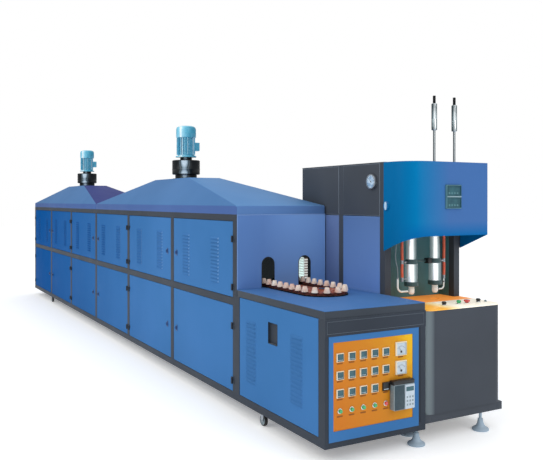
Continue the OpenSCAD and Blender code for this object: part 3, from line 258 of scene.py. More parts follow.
def open_face(test):
    """In edit mode, takes away the faces that pass a test."""
    pick(test)
    bpy.ops.mesh.delete(type="FACE")


def roll(offset, segments=2, test=None):
    """In edit mode, rounds the edges that pass a test, or what is selected."""
    if test:
        pick(test, "EDGE")
    bpy.ops.mesh.bevel(offset=offset, segments=segments, affect="EDGES")


def push(x=0.0, y=0.0, z=0.0):
    """Extrudes the selected faces or edges by a distance."""
    bpy.ops.mesh.extrude_region_move(TRANSFORM_OT_translate={"value": (x, y, z)})


def thicken(piece, wall):
    """Gives an open sheet its thickness, inwards."""
    solid = piece.modifiers.new("wall", "SOLIDIFY")
    solid.thickness = wall
    solid.offset = -1
    bpy.ops.object.modifier_apply(modifier="wall")


def tidy_mesh(piece, angle=35):
    """Merges doubles, points the faces outwards and smooths the rounded ones."""
    edit()
    bpy.ops.mesh.remove_doubles(threshold=0.00001)
    bpy.ops.mesh.normals_make_consistent(inside=False)
    edit(False)
    bpy.ops.object.shade_smooth_by_angle(angle=math.radians(angle))
    return piece


def sheet_shell(name, lo, hi, opened, rolled, radius, segments, wall, angle=30):
    """A folded sheet cover: a box opened on some sides, its folds rolled, with a wall."""
    piece = start_box(name, lo, hi)
    edit()
    open_face(opened)
    roll(radius, segments, rolled)
    edit(False)
    thicken(piece, wall)
    return tidy_mesh(piece, angle)


def turned(name, profile, sides=48, angle=35):
    """A part turned on Z: a circle extruded and resized up (radius, height) pairs in mm."""
    (radius, height), *rest = profile
    piece = start("circle", name, vertices=sides, radius=radius / 1000, location=(0, 0, height / 1000))
    edit()
    for r, z in rest:
        push(z=(z - height) / 1000)
        bpy.ops.transform.resize(value=(r / radius, r / radius, 1), center_override=(0, 0, z / 1000))
        radius, height = max(r, 0.01), z
    edit(False)
    return tidy_mesh(piece, angle)


def moved(piece, place=(0, 0, 0), turn=(0, 0, 0)):
    """Turns a piece about its own origin by degrees, and puts it in its place."""
    piece.data.transform(
        Matrix.Translation(place)
        @ Matrix.Rotation(math.radians(turn[2]), 4, "Z")
        @ Matrix.Rotation(math.radians(turn[1]), 4, "Y")
        @ Matrix.Rotation(math.radians(turn[0]), 4, "X")
    )
    return piece


def another(piece, name, place=(0, 0, 0), turn=(0, 0, 0)):
    """A copy of a piece with a mesh of its own, moved from where the first is."""
    copy = piece.copy()
    copy.data = piece.data.copy()
    copy.name = name
    bpy.context.scene.collection.objects.link(copy)
    return moved(copy, place, turn)


def joined(name, *pieces):
    """Several pieces as one."""
    bpy.ops.object.select_all(action="DESELECT")
    for piece in pieces:
        piece.select_set(True)
    bpy.context.view_layer.objects.active = pieces[0]
    bpy.ops.object.join()
    pieces[0].name = name
    return pieces[0]


def discard(*pieces):
    """Takes away patterns that have been copied."""
    for piece in pieces:
        bpy.data.objects.remove(piece)


def fitted(piece, material, body="machine", replaced=()):
    """Gives a finished piece its material, its body and the node it stands for."""
    if material:
        piece.data.materials.clear()
        piece.data.materials.append(material)
    if replaced:
        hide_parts(*replaced)
    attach(piece, body)
    return piece


def second_finish(piece, material, test):
    """A further finish for the faces whose middle and normal pass a test."""
    piece.data.materials.append(material)
    for face in piece.data.polygons:
        if test(face.center, face.normal):
            face.material_index = len(piece.data.materials) - 1


def louvre_column(count):
    """A column of louvre hoods: a cube with its top pulled back to the sheet and its ends drawn in."""
    first = start_box("louvres", (-louvre_wide / 2, -0.007, 0.002), (louvre_wide / 2, 0, 0.016))
    edit()
    pick(lambda at, way: at.y < -0.006 and at.z > 0.015, "EDGE")
    bpy.ops.transform.translate(value=(0, 0.0065, 0))
    pick(lambda at, way: at.y < -0.006 and at.z < 0.003, "EDGE")
    bpy.ops.transform.resize(value=(0.93, 1, 1))
    push(z=0.004)
    open_face(lambda at, way: way.z < -0.9 or way.y > 0.9)
    edit(False)
    rest = [another(first, "louvres", (0, 0, k * louvre_pitch)) for k in range(1, count)]
    return tidy_mesh(joined("louvres", first, *rest), 50)


def folded_panel(name, width, depth, height, columns=(), openings=()):
    """A sheet tray folded back at its edges, outer face at y = 0, with a slit behind each louvre of
    its columns (x, z, count), and with openings (x, z, width, height)."""
    piece = start_box(name, (0, 0, 0), (width, depth, height))
    edit()
    open_face(lambda at, way: way.y > 0.9)
    roll(0.0045, 3, lambda at, way: at.y < 0.0001)
    holes = list(openings)
    for x, z, count in columns:
        holes += [(x, z + k * louvre_pitch + 0.006, slit_wide, 0.008) for k in range(count)]
    across = {edge for x, z, wide, high in holes for edge in (x - wide / 2, x + wide / 2)}
    upward = {edge for x, z, wide, high in holes for edge in (z - high / 2, z + high / 2)}
    for point, normal in [((v, 0, 0), (1, 0, 0)) for v in across] + [((0, 0, v), (0, 0, 1)) for v in upward]:
        pick(lambda at, way: at.y < 0.0001 and way.y < -0.9)
        bpy.ops.mesh.bisect(plane_co=point, plane_no=normal)
    if holes:
        open_face(
            lambda at, way: way.y < -0.9
            and any(abs(at.x - x) < wide / 2 and abs(at.z - z) < high / 2 for x, z, wide, high in holes)
        )
    edit(False)
    thicken(piece, sheet_gauge)
    return tidy_mesh(piece, 40)


def hinge_half(name):
    """The door's half of a lift-off hinge: a bored knuckle on the z axis and its leaf to +X."""
    tube = {"vertices": 20, "radius": 0.007, "depth": hinge_height, "end_fill_type": "NOTHING"}
    knuckle = start("cylinder", name, location=(0, 0, hinge_height / 2), **tube)
    thicken(knuckle, 0.0034)
    tidy_mesh(knuckle)
    leaf = start_box(name + "_leaf", (0, 0.0053, 0), (0.026, 0.0073, hinge_height))
    edit()
    roll(0.0006)
    edit(False)
    return joined(name, knuckle, leaf)


def turn_handle(name):
    """A dark oval knob on its rose, standing out of the door towards -Y."""
    piece = start("cylinder", name, vertices=32, radius=0.015, depth=0.004)
    edit()
    roll(0.0012, 2, lambda at, way: at.z > 0.0019)
    pick(lambda at, way: way.z > 0.9)
    bpy.ops.mesh.inset(thickness=0.006)
    for step, shrink in ((0.006, 0.9), (0.002, 0.7)):
        push(z=step)
        bpy.ops.transform.resize(value=(shrink, shrink, 1))
    bpy.ops.mesh.select_all(action="SELECT")
    bpy.ops.transform.resize(value=(1.75, 1, 1))
    edit(False)
    return moved(tidy_mesh(piece), (0, -0.002, 0), (90, 90, 0))


for row in ("upper", "lower"):
    lo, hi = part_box(f"door_{row}_1")
    door_wide, high = hi.x - lo.x - hinge_reach, hi.z - lo.z
    columns = [(x * door_wide, louvres_up * high, louvre_count) for x in louvres_across if row == "upper"]
    extras = [moved(louvre_column(count), (x, 0, z)) for x, z, count in columns]
    for up in hinges_up:
        hinge_at = (-0.0015, -0.0073, up * high + hinge_height + 0.0003)
        extras.append(moved(hinge_half("hinge"), hinge_at))
    door = joined(f"{row}_door", folded_panel(f"{row}_door", door_wide, door_depth, high, columns), *extras)
    handle = moved(turn_handle(f"{row}_handle"), (door_wide - handle_in, 0, handle_up * high))
    for column in range(1, 7):
        node = f"door_{row}_{column}"
        lo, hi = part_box(node)
        low_x = lo.x + hinge_reach if column % 2 else lo.x
        sheet, knob = another(door, node + "_sheet"), another(handle, node + "_handle")
        for copy in (sheet, knob):
            if column % 2 == 0:
                copy.data.transform(Matrix.Translation((door_wide, 0, 0)) @ Matrix.Scale(-1, 4, (1, 0, 0)))
                copy.data.flip_normals()
            moved(copy, (low_x, hi.y - door_depth, lo.z))
        fitted(sheet, blue_enamel, node, [node])
        front, mid_x = hi.y - door_depth - 0.0004, low_x + door_wide / 2
        # painted highlights: the louvres' ends turned to +X and their top slopes are painted paler
        second_finish(sheet, edge_enamel, lambda at, way: at.y < front and way.x > 0.4)
        second_finish(sheet, lip_enamel, lambda at, way: at.y < front and way.z > 0.25)
        # the hinges were sprayed with the frame, before the door was hung
        second_finish(sheet, frame_enamel, lambda at, way: at.y < front and abs(at.x - mid_x) > 0.42 * door_wide)
        fitted(knob, navy_plastic, node)
    discard(door, handle)

# ---------------------------------------------------------------- fixed sheet
# The fixed trays of the far side, the sheets of the far end, the end wall with
# its two arches, the table top with its skirt and the table's side panel.


def mottled(
    name, deep, light, scale, roughness=0.4, metallic=0.0, detail=2.0, between=(0, 1), wear=(), bump=(), **sockets
):
    """A finish whose tone drifts between two colours in spots about 1/scale m across. Wear varies its
    roughness between two values, bump gives its grain a depth and a strength. A scale below 0 makes cells."""
    material, shader = new_finish(name, roughness, metallic, **sockets)
    place = {"Vector": add_node(material, "TexCoord").outputs["Object"], "Scale": abs(scale)}
    if scale < 0:
        spots = add_node(material, "TexVoronoi", place).outputs["Distance"]
    else:
        spots = add_node(material, "TexNoise", {**place, "Detail": detail}).outputs["Fac"]
    tones = add_node(material, "ValToRGB", {"Fac": spots}, [(between[0], deep), (between[1], light)])
    join_nodes(material, tones.outputs["Color"], shader.inputs["Base Color"])
    if wear:
        worn = add_node(material, "MapRange", {"Value": spots, "To Min": wear[0], "To Max": wear[1]})
        join_nodes(material, worn.outputs[0], shader.inputs["Roughness"])
    if bump:
        grain = add_node(material, "Bump", {"Height": spots, "Distance": bump[0], "Strength": bump[1]})
        join_nodes(material, grain.outputs["Normal"], shader.inputs["Normal"])
    return material


# moulded ABS with a fine spark-eroded grain, about 1 mm: a soft, broken sheen
black_plastic = mottled("moulded_black_plastic", "141517", "26282b", 900, 0.42, bump=(0.0004, 0.4))

lo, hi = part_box("oven_panels")
far_trays = []
for row in ("upper", "lower"):
    low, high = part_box(f"door_{row}_1")
    tray = folded_panel("far_tray", door_wide, door_depth, high.z - low.z)
    for column in range(1, 7):
        low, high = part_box(f"door_{row}_{column}")
        edge = high.x if column % 2 else low.x + door_wide
        far_trays.append(another(tray, "far_tray", (edge, hi.y, low.z), (0, 0, 180)))
    discard(tray)
side_lo, side_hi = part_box("table_side_panel")
panel_gap = 0.003
panel_wide = side_hi.x - side_lo.x - 2 * panel_gap
panel_high = side_hi.z - side_lo.z
tray = folded_panel("table_far_tray", panel_wide, door_depth, panel_high)
far_trays.append(moved(tray, (side_hi.x - panel_gap, hi.y, side_lo.z), (0, 0, 180)))
trays = fitted(joined("far_side_trays", *far_trays), blue_enamel, replaced=["oven_panels"])
# the trays' faces that look into the oven are given the dark frame enamel
second_finish(trays, frame_enamel, lambda at, way: way.y < -0.5)


def rounded_box(name, lo, hi, round_by, segments=2):
    """A box with all its edges rounded."""
    piece = start_box(name, lo, hi)
    edit()
    roll(round_by, segments)
    edit(False)
    return tidy_mesh(piece, 40)


# the far end's two sheets, each held by four slotted cheese-head screws
screw = turned("screw", [(4.2, 0), (4.2, 1.4), (3.4, 2.2), (1.2, 2.2), (1.0, 1.2), (0.1, 1.2)], 12, 50)
moved(screw, turn=(90, 0, 0))
near_edge, far_edge, lap = 0.677, 0.043, 0.013
for name, bounds in (("lower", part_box("door_lower_1")), ("upper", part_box("door_upper_1"))):
    low = (lo.x, hi.y - near_edge, bounds[0].z - lap)
    high = (lo.x + sheet_gauge, hi.y - far_edge, bounds[1].z + lap)
    heads = [
        another(screw, "screw", (lo.x + 0.0006, y, z), (0, 0, -90))
        for y in (low[1] + 0.03, high[1] - 0.03)
        for z in (low[2] + 0.012, high[2] - 0.012)
    ]
    sheet = rounded_box(f"far_end_{name}_sheet", low, high, 0.0007, 1)
    whole = joined(f"far_end_{name}_sheet", sheet, *heads)
    fitted(whole, blue_enamel, replaced=["oven_panels"])
discard(screw)


def cut_out(piece, cutter):
    """Cuts a shape out of a piece, which is then the active one."""
    cut = piece.modifiers.new("cut", "BOOLEAN")
    cut.operation = "DIFFERENCE"
    cut.object = cutter
    bpy.ops.object.select_all(action="DESELECT")
    piece.select_set(True)
    bpy.context.view_layer.objects.active = piece
    bpy.ops.object.modifier_apply(modifier="cut")
    discard(cutter)


# the end wall: arched holes cut by a copy of their outline, edged with a rubber strip;
# its enamel is painted paler towards the station against the shade the cabinet casts there, and its folded beads are
# painted pale as highlights
lo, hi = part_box("end_wall")
wall_painted_light_run = [("Y", lo.y + 0.2, lo.y + 0.72, "86b2ee")]
wall_enamel = enamel("end_wall_enamel", "6488c2", "5a7fb8", 0.05, 0.5, toward=wall_painted_light_run)
bead_enamel = enamel("painted_highlight_bead_enamel", "8eabd8", "809fcf", 0.05, 0.4, 0.0)
wall_x = hi.x
arch_centres = [lo.y + 0.242, lo.y + 0.542]
spring = lo.z + 0.163
arch_radius = 0.050
wall_sheet = start_box("end_wall_sheet", (hi.x - sheet_gauge, lo.y, lo.z), hi)
for y in arch_centres:
    round_bar = {"vertices": 48, "radius": arch_radius, "depth": 0.02, "rotation": (0, math.pi / 2, 0)}
    cutter = start("cylinder", "arch_cutter", location=(hi.x, y, spring), **round_bar)
    edit()
    pick(lambda at, way: abs(way.x) < 0.5 and way.z < -0.05)
    push(z=-0.2)
    edit(False)
    cut_out(wall_sheet, cutter)
fitted(tidy_mesh(wall_sheet, 30), wall_enamel, replaced=["end_wall"])
for name, low, high in (
    ("end_wall_bead", (hi.x, lo.y + 0.001, lo.z), (hi.x + 0.0014, lo.y + 0.005, hi.z - 0.001)),
    ("end_wall_top_bead", (hi.x, lo.y + 0.006, hi.z - 0.005), (hi.x + 0.0014, hi.y - 0.001, hi.z - 0.001)),
):
    fitted(rounded_box(name, low, high, 0.0004, 1), bead_enamel)
for k, y in enumerate(arch_centres):
    foot_of_arch = (hi.x + 0.0006, y + arch_radius, lo.z)
    strip = start("circle", f"arch_edging_{k + 1}", vertices=10, radius=0.0022, location=foot_of_arch)
    edit()
    push(z=spring - lo.z)
    bpy.ops.mesh.spin(steps=24, angle=math.pi, center=(hi.x, y, spring), axis=(-1, 0, 0))
    push(z=lo.z - spring)
    edit(False)
    fitted(tidy_mesh(strip), black_plastic)

# the table top, its turned-down skirt and the deck through the oven; the top's
# enamel is greyed by wiping, the skirt is as dark as the frame
wall_low = lo
lo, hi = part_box("decks")
skirt = wall_low.z - 0.0471
table_enamel = enamel("blue_table_enamel", "4775ae", "3e6ba4", 0.1, 0.5, 0.04)
skirt_enamel = enamel("dark_skirt_enamel", "424952", "393f47", 0.08, dust=0.0)
table_top = rounded_box("table_top", (wall_x + 0.0002, lo.y, hi.z - 0.004), hi, 0.0018)
fitted(table_top, table_enamel, replaced=["decks"])
table_skirt = sheet_shell(
    "table_skirt", (wall_x + 0.0002, lo.y + 0.0004, skirt), (hi.x - 0.0004, hi.y - 0.0004, hi.z - 0.004),
    lambda at, way: abs(way.z) > 0.9, lambda at, way: abs(way.z) > 0.9, 0.004, 3, 0.004,
)
fitted(table_skirt, skirt_enamel, replaced=["decks"])
deck = sheet_shell(
    "oven_deck", (lo.x, lo.y + 0.042, lo.z), (wall_low.x - 0.0002, hi.y - 0.042, hi.z),
    lambda at, way: way.z < -0.9, lambda at, way: at.z > lo.z + 0.0001, 0.003, 3, 0.003,
)
fitted(deck, blue_enamel, replaced=["decks"])

# the table's side panel, with its louvres and a recessed cup to pull it off by
pull_x, pull_z, pull_wide, pull_high = 0.47 * panel_wide, 0.74 * panel_high, 0.120, 0.134
columns = [(share * panel_wide, 0.18 * panel_high, 16) for share in (0.17, 0.76)]
pull = (pull_x, pull_z, pull_wide, pull_high)
side_panel = folded_panel("table_side_panel_sheet", panel_wide, door_depth, panel_high, columns, [pull])
extras = [moved(louvre_column(count), (x, 0, z)) for x, z, count in columns]
cup = sheet_shell(
    "pull_cup", (pull_x - 0.061, 0, pull_z - 0.068), (pull_x + 0.061, 0.0185, pull_z + 0.068),
    lambda at, way: way.y < -0.9, lambda at, way: at.y > 0.001, 0.005, 3, 0.0015, 40,
)
side_panel = joined("table_side_panel_sheet", side_panel, cup, *extras)
panel_at = Vector((side_lo.x + panel_gap, side_hi.y - door_depth, side_lo.z))
fitted(moved(side_panel, panel_at), blue_enamel, replaced=["table_side_panel"])
# the louvres' ends turned to +X are painted paler, as painted highlights
second_finish(side_panel, lip_enamel, lambda at, way: at.y < panel_at.y - 0.0004 and way.x > 0.4)
cup_at = panel_at + Vector((pull_x, 0, pull_z))
second_finish(
    side_panel, frame_enamel,
    lambda at, way: at.y > cup_at.y + 0.0006 and abs(at.x - cup_at.x) < 0.062 and abs(at.z - cup_at.z) < 0.069,
)

# ---------------------------------------------------------------- roof
# Two hipped hoods folded from 3 mm sheet, each with an upright fascia; the
# folds are rolled; the fascias are painted darker than the slopes as shade, their +X ends paler as lit.
# The far hood's near slope is painted dark as the shade between the hoods; the near hood's is painted paler as lit.
roof_enamel = enamel("blue_roof_enamel", "4c79ad", "4370a3", 0.03, dust=0.06)
valley_enamel = enamel("painted_shade_roof_enamel", "434b85", "3b437b", 0.03, 0.5, 0.0)
end_slope_enamel = enamel("painted_light_roof_enamel", "5b89bc", "5280b3", 0.03, dust=0.06)
end_fascia_painted_light = enamel("end_fascia_painted_light", "5f84ba", "577baf", 0.03, dust=0.0)
fascia_enamel = enamel("fascia_painted_shade_enamel", "4e699f", "466096", 0.03, dust=0.0)
# the fascia's height, and the length and width of a hood's flat top
fascia = 0.060
plateau = (0.850, 0.300)
lo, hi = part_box("roof_hoods")
length = (hi.x - lo.x) / 2
for k in range(2):
    x = lo.x + k * length
    hood = start_box(f"roof_hood_{k + 1}", (x, lo.y, lo.z), (x + length - 0.0003, hi.y, lo.z + fascia))
    edit()
    pick(lambda at, way: way.z > 0.9)
    push(z=hi.z - lo.z - fascia)
    shrink = (plateau[0] / length, plateau[1] / (hi.y - lo.y), 1)
    bpy.ops.transform.resize(value=shrink, center_override=(x + length / 2, (lo.y + hi.y) / 2, hi.z))
    open_face(lambda at, way: way.z < -0.9)
    roll(0.006, 2, lambda at, way: at.z > lo.z + 0.001)
    edit(False)
    thicken(hood, 0.003)
    fitted(tidy_mesh(hood, 25), roof_enamel, replaced=["roof_hoods"])
    # painted light and shade: the near slopes and the fascias get lit or shaded copies of the blue
    near_slope = end_slope_enamel if k else valley_enamel
    second_finish(hood, near_slope, lambda at, way: way.x > 0.1 and way.z > 0.3)
    second_finish(hood, fascia_enamel, lambda at, way: abs(way.z) < 0.3)
    second_finish(hood, end_fascia_painted_light, lambda at, way: way.x > 0.9)

# ---------------------------------------------------------------- fans
# Each hood carries a centrifugal fan: a black spun-steel drum on a neck, with
# a rolled bead, and a teal finned motor upright on it under its fan cowl.


def painted_reflection(name, roughness, stops, direction, span=(1, -1), ripple=(), glow=0, metallic=0.0, **sockets):
    """Paints a reflection of the room into the base colour in bands: its tone follows how far a face turns from a
    direction.
    Ripple gives the scale and the swing of a noise that wavers the bands; glow makes the painted bands shine weakly."""
    material, shader = new_finish(name, roughness, metallic, **sockets)
    normal = add_node(material, "NewGeometry").outputs["Normal"]
    facing = add_node(material, "VectorMath", {0: normal, 1: Vector(direction)}, operation="DOT_PRODUCT")
    across = {"Value": facing.outputs["Value"], "From Min": span[0], "From Max": span[1]}
    band = add_node(material, "MapRange", across).outputs[0]
    if ripple:
        place = add_node(material, "TexCoord").outputs["Object"]
        haze = add_node(material, "TexNoise", {"Vector": place, "Scale": ripple[0], "Detail": 2.0})
        swing = {"Value": haze.outputs["Fac"], "To Min": -ripple[1], "To Max": ripple[1]}
        waver = add_node(material, "MapRange", swing).outputs[0]
        band = add_node(material, "Math", {0: band, 1: waver}, operation="ADD").outputs[0]
    tones = add_node(material, "ValToRGB", {"Fac": band}, stops)
    join_nodes(material, tones.outputs["Color"], shader.inputs["Base Color"])
    if glow:
        join_nodes(material, tones.outputs["Color"], shader.inputs["Emission Color"])
        shader.inputs["Emission Strength"].default_value = glow
    return material


# stoved enamels: a hard gloss; on the round sides an upright highlight band is painted into the colour
side_light = (-0.648, -0.762, 0.0)
lamp_edge = (0.872, -0.49, 0.0)
black_enamel = enamel("black_gloss_enamel", "1a1b1e", "0e0f11", roughness=0.2, dust=0.12)
teal_stops = [
    (0.05, "62b2cf"), (0.28, "86cbe3"), (0.38, "eef9fd"), (0.47, "9cd5e8"), (0.62, "6cbbd6"), (0.8, "50a5c2"),
    (0.95, "3b8fad"),
]
teal_enamel = painted_reflection("teal_motor_painted_highlight", 0.25, teal_stops, side_light, ripple=(14, 0.03), Specular_IOR_Level=0.3)
drum_stops = [
    (0.86, "13171a"), (0.915, "1f272b"), (0.94, "536068"), (0.958, "2a3439"), (0.976, "8da2b0"), (0.992, "c6d8e4"),
]
drum_gloss = painted_reflection("black_gloss_painted_highlight", 0.3, drum_stops, lamp_edge, (0, 1), (12, 0.006), Specular_IOR_Level=0.15)
lo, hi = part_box("fan_housings")
drum_radius = 0.128
drum = turned("fan_drum", [
    (96, 0), (125, 0), (125, 3), (124, 4), (101, 4), (100, 6), (100, 39), (102, 41), (122, 41), (128, 46),
    (128, 84), (129.5, 87), (129.5, 91), (128, 94), (128, 167), (123, 173), (60, 173), (56, 176), (55, 179),
    (55, 201), (51, 201), (51, 170), (125, 170), (125, 44), (96, 44), (96, 0),
])
motor = turned("fan_motor", [
    (0.1, 0), (94, 0), (96, 2), (96, 10), (94, 12), (77, 12), (75, 15), (75, 184), (90, 184), (92, 187),
    (92, 258), (91, 264), (86, 279), (72, 288), (62, 291), (56, 291), (28, 291), (18, 291), (0.1, 291),
])
# the cowl's inlet slots, pressed 5 mm into its top
edit()
pick(
    lambda at, way: way.z > 0.9
    and 0.03 < math.hypot(at.x, at.y) < 0.056
    and int(math.degrees(math.atan2(at.y, at.x)) % 360 / 7.5) % 4 < 2
)
bpy.ops.mesh.inset(thickness=0.001)
push(z=-0.005)
edit(False)
fin = start_box("fin", (0.073, -0.002, 0.024), (0.089, 0.002, 0.182))
edit()
roll(0.0014, 1, lambda at, way: at.x > 0.088)
edit(False)
fins = [another(fin, "fin", turn=(0, 0, k * 15 + 3)) for k in range(24) if k < 4 or k > 8]
discard(fin)
terminal_box = start_box("terminal_box", (-0.038, 0.062, 0.062), (0.038, 0.122, 0.140))
edit()
roll(0.004)
pick(lambda at, way: way.y > 0.9)
bpy.ops.mesh.inset(thickness=0.003)
push(y=-0.002)
edit(False)


def ring_place(radius, degrees, z=0.0):
    """A point on a circle about the z axis."""
    return radius * math.cos(math.radians(degrees)), radius * math.sin(math.radians(degrees)), z


bolts = []
for k in range(4):
    bolt = start("cylinder", "bolt", vertices=6, radius=0.007, depth=0.006)
    edit()
    roll(0.001, 1, lambda at, way: at.z > 0.0029)
    edit(False)
    bolts.append(moved(bolt, ring_place(0.086, 45 + 90 * k, 0.015)))
motor = joined("fan_motor", motor, terminal_box, *fins, *bolts)
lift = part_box("fan_motors")[0].z
for side, x in (("far", lo.x + drum_radius), ("near", hi.x - drum_radius)):
    housing = another(drum, f"fan_drum_{side}", (x, (lo.y + hi.y) / 2, lo.z))
    fitted(housing, drum_gloss, replaced=["fan_housings"])
    finned = another(motor, f"fan_motor_{side}", (x, (lo.y + hi.y) / 2, lift))
    fitted(finned, teal_enamel, replaced=["fan_motors"])
discard(drum, motor)

# ---------------------------------------------------------------- instruments
# The control face: a folded blue ring round an orange plate under a dark
# panel, with clipped-in controllers, a counter, two meters and push buttons.
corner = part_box("control_frame")[0]


def spot(x, y, z):
    """A point in millimetres from the control face, the door side and the floor."""
    return Vector((corner.x + x / 1000, corner.y + y / 1000, z / 1000))


# the ring: a box cut along its window's sides, opened there and bridged
ring_lo, ring_hi = spot(0, 25, 125), spot(4, 665, 709.8)
cut_lo, cut_hi = spot(0, 55, 183), spot(4, 620, 675)
ring = start_box("control_ring", ring_lo, ring_hi)
edit()
for point, normal in ((cut_lo, (0, 1, 0)), (cut_hi, (0, 1, 0)), (cut_lo, (0, 0, 1)), (cut_hi, (0, 0, 1))):
    bpy.ops.mesh.select_all(action="SELECT")
    bpy.ops.mesh.bisect(plane_co=point, plane_no=normal)


def in_window(at, margin=0.0):
    """Whether a point lies within the ring's window."""
    return all(cut_lo[k] - margin < at[k] < cut_hi[k] + margin for k in (1, 2))


def on_rim(at, way):
    """Whether an edge of the front face runs round the ring's outside or its window."""
    if at.x < ring_hi.x - 0.0001:
        return False
    for along, over in ((2, 1), (1, 2)):
        if abs(way[along]) > 0.9:
            outer = min(abs(at[over] - ring_lo[over]), abs(at[over] - ring_hi[over])) < 0.0001
            inner = min(abs(at[over] - cut_lo[over]), abs(at[over] - cut_hi[over])) < 0.0001
            return outer or (inner and cut_lo[along] < at[along] < cut_hi[along])
    return False


open_face(lambda at, way: abs(way.x) > 0.9 and in_window(at))
pick(lambda at, way: abs(way.x) < 0.1 and in_window(at, 0.0001), "EDGE")
bpy.ops.mesh.bridge_edge_loops()
roll(0.0016, 2, on_rim)
edit(False)
fitted(tidy_mesh(ring, 30), blue_enamel, replaced=["control_frame"])

# the dark panel over it, with a pressed line painted paler as a highlight
upper_panel = start_box("dark_upper_panel", spot(0, 0, 710.3), spot(4, 720, 807))
edit()
pick(lambda at, way: way.x > 0.9)
bpy.ops.mesh.inset(thickness=0.012)
bpy.ops.mesh.inset(thickness=0.0015)
push(x=-0.0012)
bpy.ops.mesh.inset(thickness=0.0026)
push(x=0.0012)
edit(False)
fitted(tidy_mesh(upper_panel), frame_enamel)
line_enamel = enamel("painted_highlight_line_enamel", "6f7984", "626c77", 0.1, 0.4, 0.0)
second_finish(upper_panel, line_enamel, lambda at, way: way.x > 0.9 and at.x < spot(3.5, 0, 0).x)
filler = rounded_box("ring_side_filler", spot(-3, 664, 125), spot(-1, 677, 709.8), 0.0007, 1)
fitted(filler, frame_enamel)

# the plate's orange is drawn running to yellow towards its upper right
orange_plate, shader = new_finish("orange_plate_enamel", 0.38, Specular_IOR_Level=0.1)
place = add_node(orange_plate, "TexCoord").outputs["Object"]
axes = add_node(orange_plate, "SeparateXYZ", {"Vector": place})
run = {"Value": axes.outputs["Y"], "From Min": cut_lo.y, "From Max": cut_hi.y, "To Max": 0.8}
across = add_node(orange_plate, "MapRange", run)
run = {"Value": axes.outputs["Z"], "From Min": cut_lo.z, "From Max": cut_hi.z, "To Max": 0.25}
upward = add_node(orange_plate, "MapRange", run)
blend = add_node(orange_plate, "Math", {0: across.outputs[0], 1: upward.outputs[0]}, operation="ADD")
mottle = add_node(orange_plate, "TexNoise", {"Vector": place, "Scale": 22.0, "Detail": 3.0})
mixed = add_node(orange_plate, "MapRange", {"Value": mottle.outputs["Fac"], "To Min": -0.1, "To Max": 0.1})
blend = add_node(orange_plate, "Math", {0: blend.outputs[0], 1: mixed.outputs[0]}, operation="ADD")
plate_stops = [(0.1, "c87626"), (0.55, "c87f24"), (0.85, "d09022"), (1.0, "e6b424")]
tones = add_node(orange_plate, "ValToRGB", {"Fac": blend.outputs[0]}, plate_stops)
join_nodes(orange_plate, tones.outputs["Color"], shader.inputs["Base Color"])
paint("control_plate", orange_plate)

# moulded cases are softly shiny, display windows darkly clear, meter faces pale and even
cream_plastic = mottled("moulded_cream_plastic", "e6ddc0", "f6efdc", 40, detail=4.0)
display_glass = mottled("smoked_display_window", "264e5a", "35646e", 30, 0.22, between=(0.3, 0.75))
meter_white = mottled("meter_face_enamel", "aab9c6", "c6d2dc", 30, 0.35)


def instrument(name, width, height, out, border, sunk, behind=60):
    """An instrument facing +X, in mm: its case behind the plate, its bezel and its sunk face."""
    piece = start_box(name, mm(0, -width / 2, -height / 2), mm(out, width / 2, height / 2))
    edit()
    pick(lambda at, way: way.x < -0.9)
    bpy.ops.mesh.inset(thickness=0.002)
    push(x=-behind / 1000)
    roll(0.0012, 2, lambda at, way: at.x > out / 1000 - 0.0001)
    pick(lambda at, way: way.x > 0.9)
    bpy.ops.mesh.inset(thickness=border / 1000)
    push(x=-sunk / 1000)
    edit(False)
    return tidy_mesh(piece, 30)


controller = instrument("controller", 48, 48, 8, 3.4, 2.2)
controller.data.materials.append(cream_plastic)
second_finish(controller, display_glass, lambda at, way: way.x > 0.9 and at.x < 0.007)
windows = [rounded_box("window", mm(5.6, -16, z), mm(6.6, 16, top), 0.0004, 1) for z, top in ((5, 15), (-7.5, 1.5))]
keys = [rounded_box("key", mm(5.6, y - 3, -16.5), mm(7.1, y + 3, -12.5), 0.0005, 1) for y in (-13, -4.3, 4.3, 13)]
control_columns = [99.5 + 80 * k for k in range(5)]
control_rows = (590, 490, 390)
grid = [(y, z) for z in control_rows for y in control_columns]
for k, (y, z) in enumerate(grid[:14]):
    place = spot(0, y, z)
    case = another(controller, f"controller_{k + 1}", place)
    fitted(case, None, replaced=["panel_instruments"])
    face = joined(f"controller_face_{k + 1}", *[another(window, "window", place) for window in windows])
    fitted(face, display_glass)
    row = joined(f"controller_keys_{k + 1}", *[another(key, "key", place) for key in keys])
    fitted(row, meter_white)
discard(controller, *windows, *keys)

# a blank label strip of brown laminate, matt and scuffed, is riveted under each instrument
label_brown = mottled("brown_label_laminate", "7d4618", "965a1e", 60, 0.5, detail=3.0, Specular_IOR_Level=0.2)
label = rounded_box("label", (0.0, -0.019, -0.004), (0.0008, 0.019, 0.004), 0.0003, 1)
label_places = [(y, z - 34) for y, z in grid] + [(y, 262) for y in control_columns] + [(530, 548), (530, 438)]
labels = [another(label, "label", spot(0, y, z)) for y, z in label_places]
discard(label)
fitted(joined("blank_labels", *labels), label_brown)

counter = moved(instrument("piece_counter", 48, 48, 10, 4, 2), spot(0, *grid[14]))
fitted(counter, black_plastic)
strip = rounded_box("counter_key_strip", (0.006, -0.017, -0.018), (0.0095, 0.017, -0.013), 0.0006, 1)
fitted(moved(strip, spot(0, *grid[14])), meter_white)

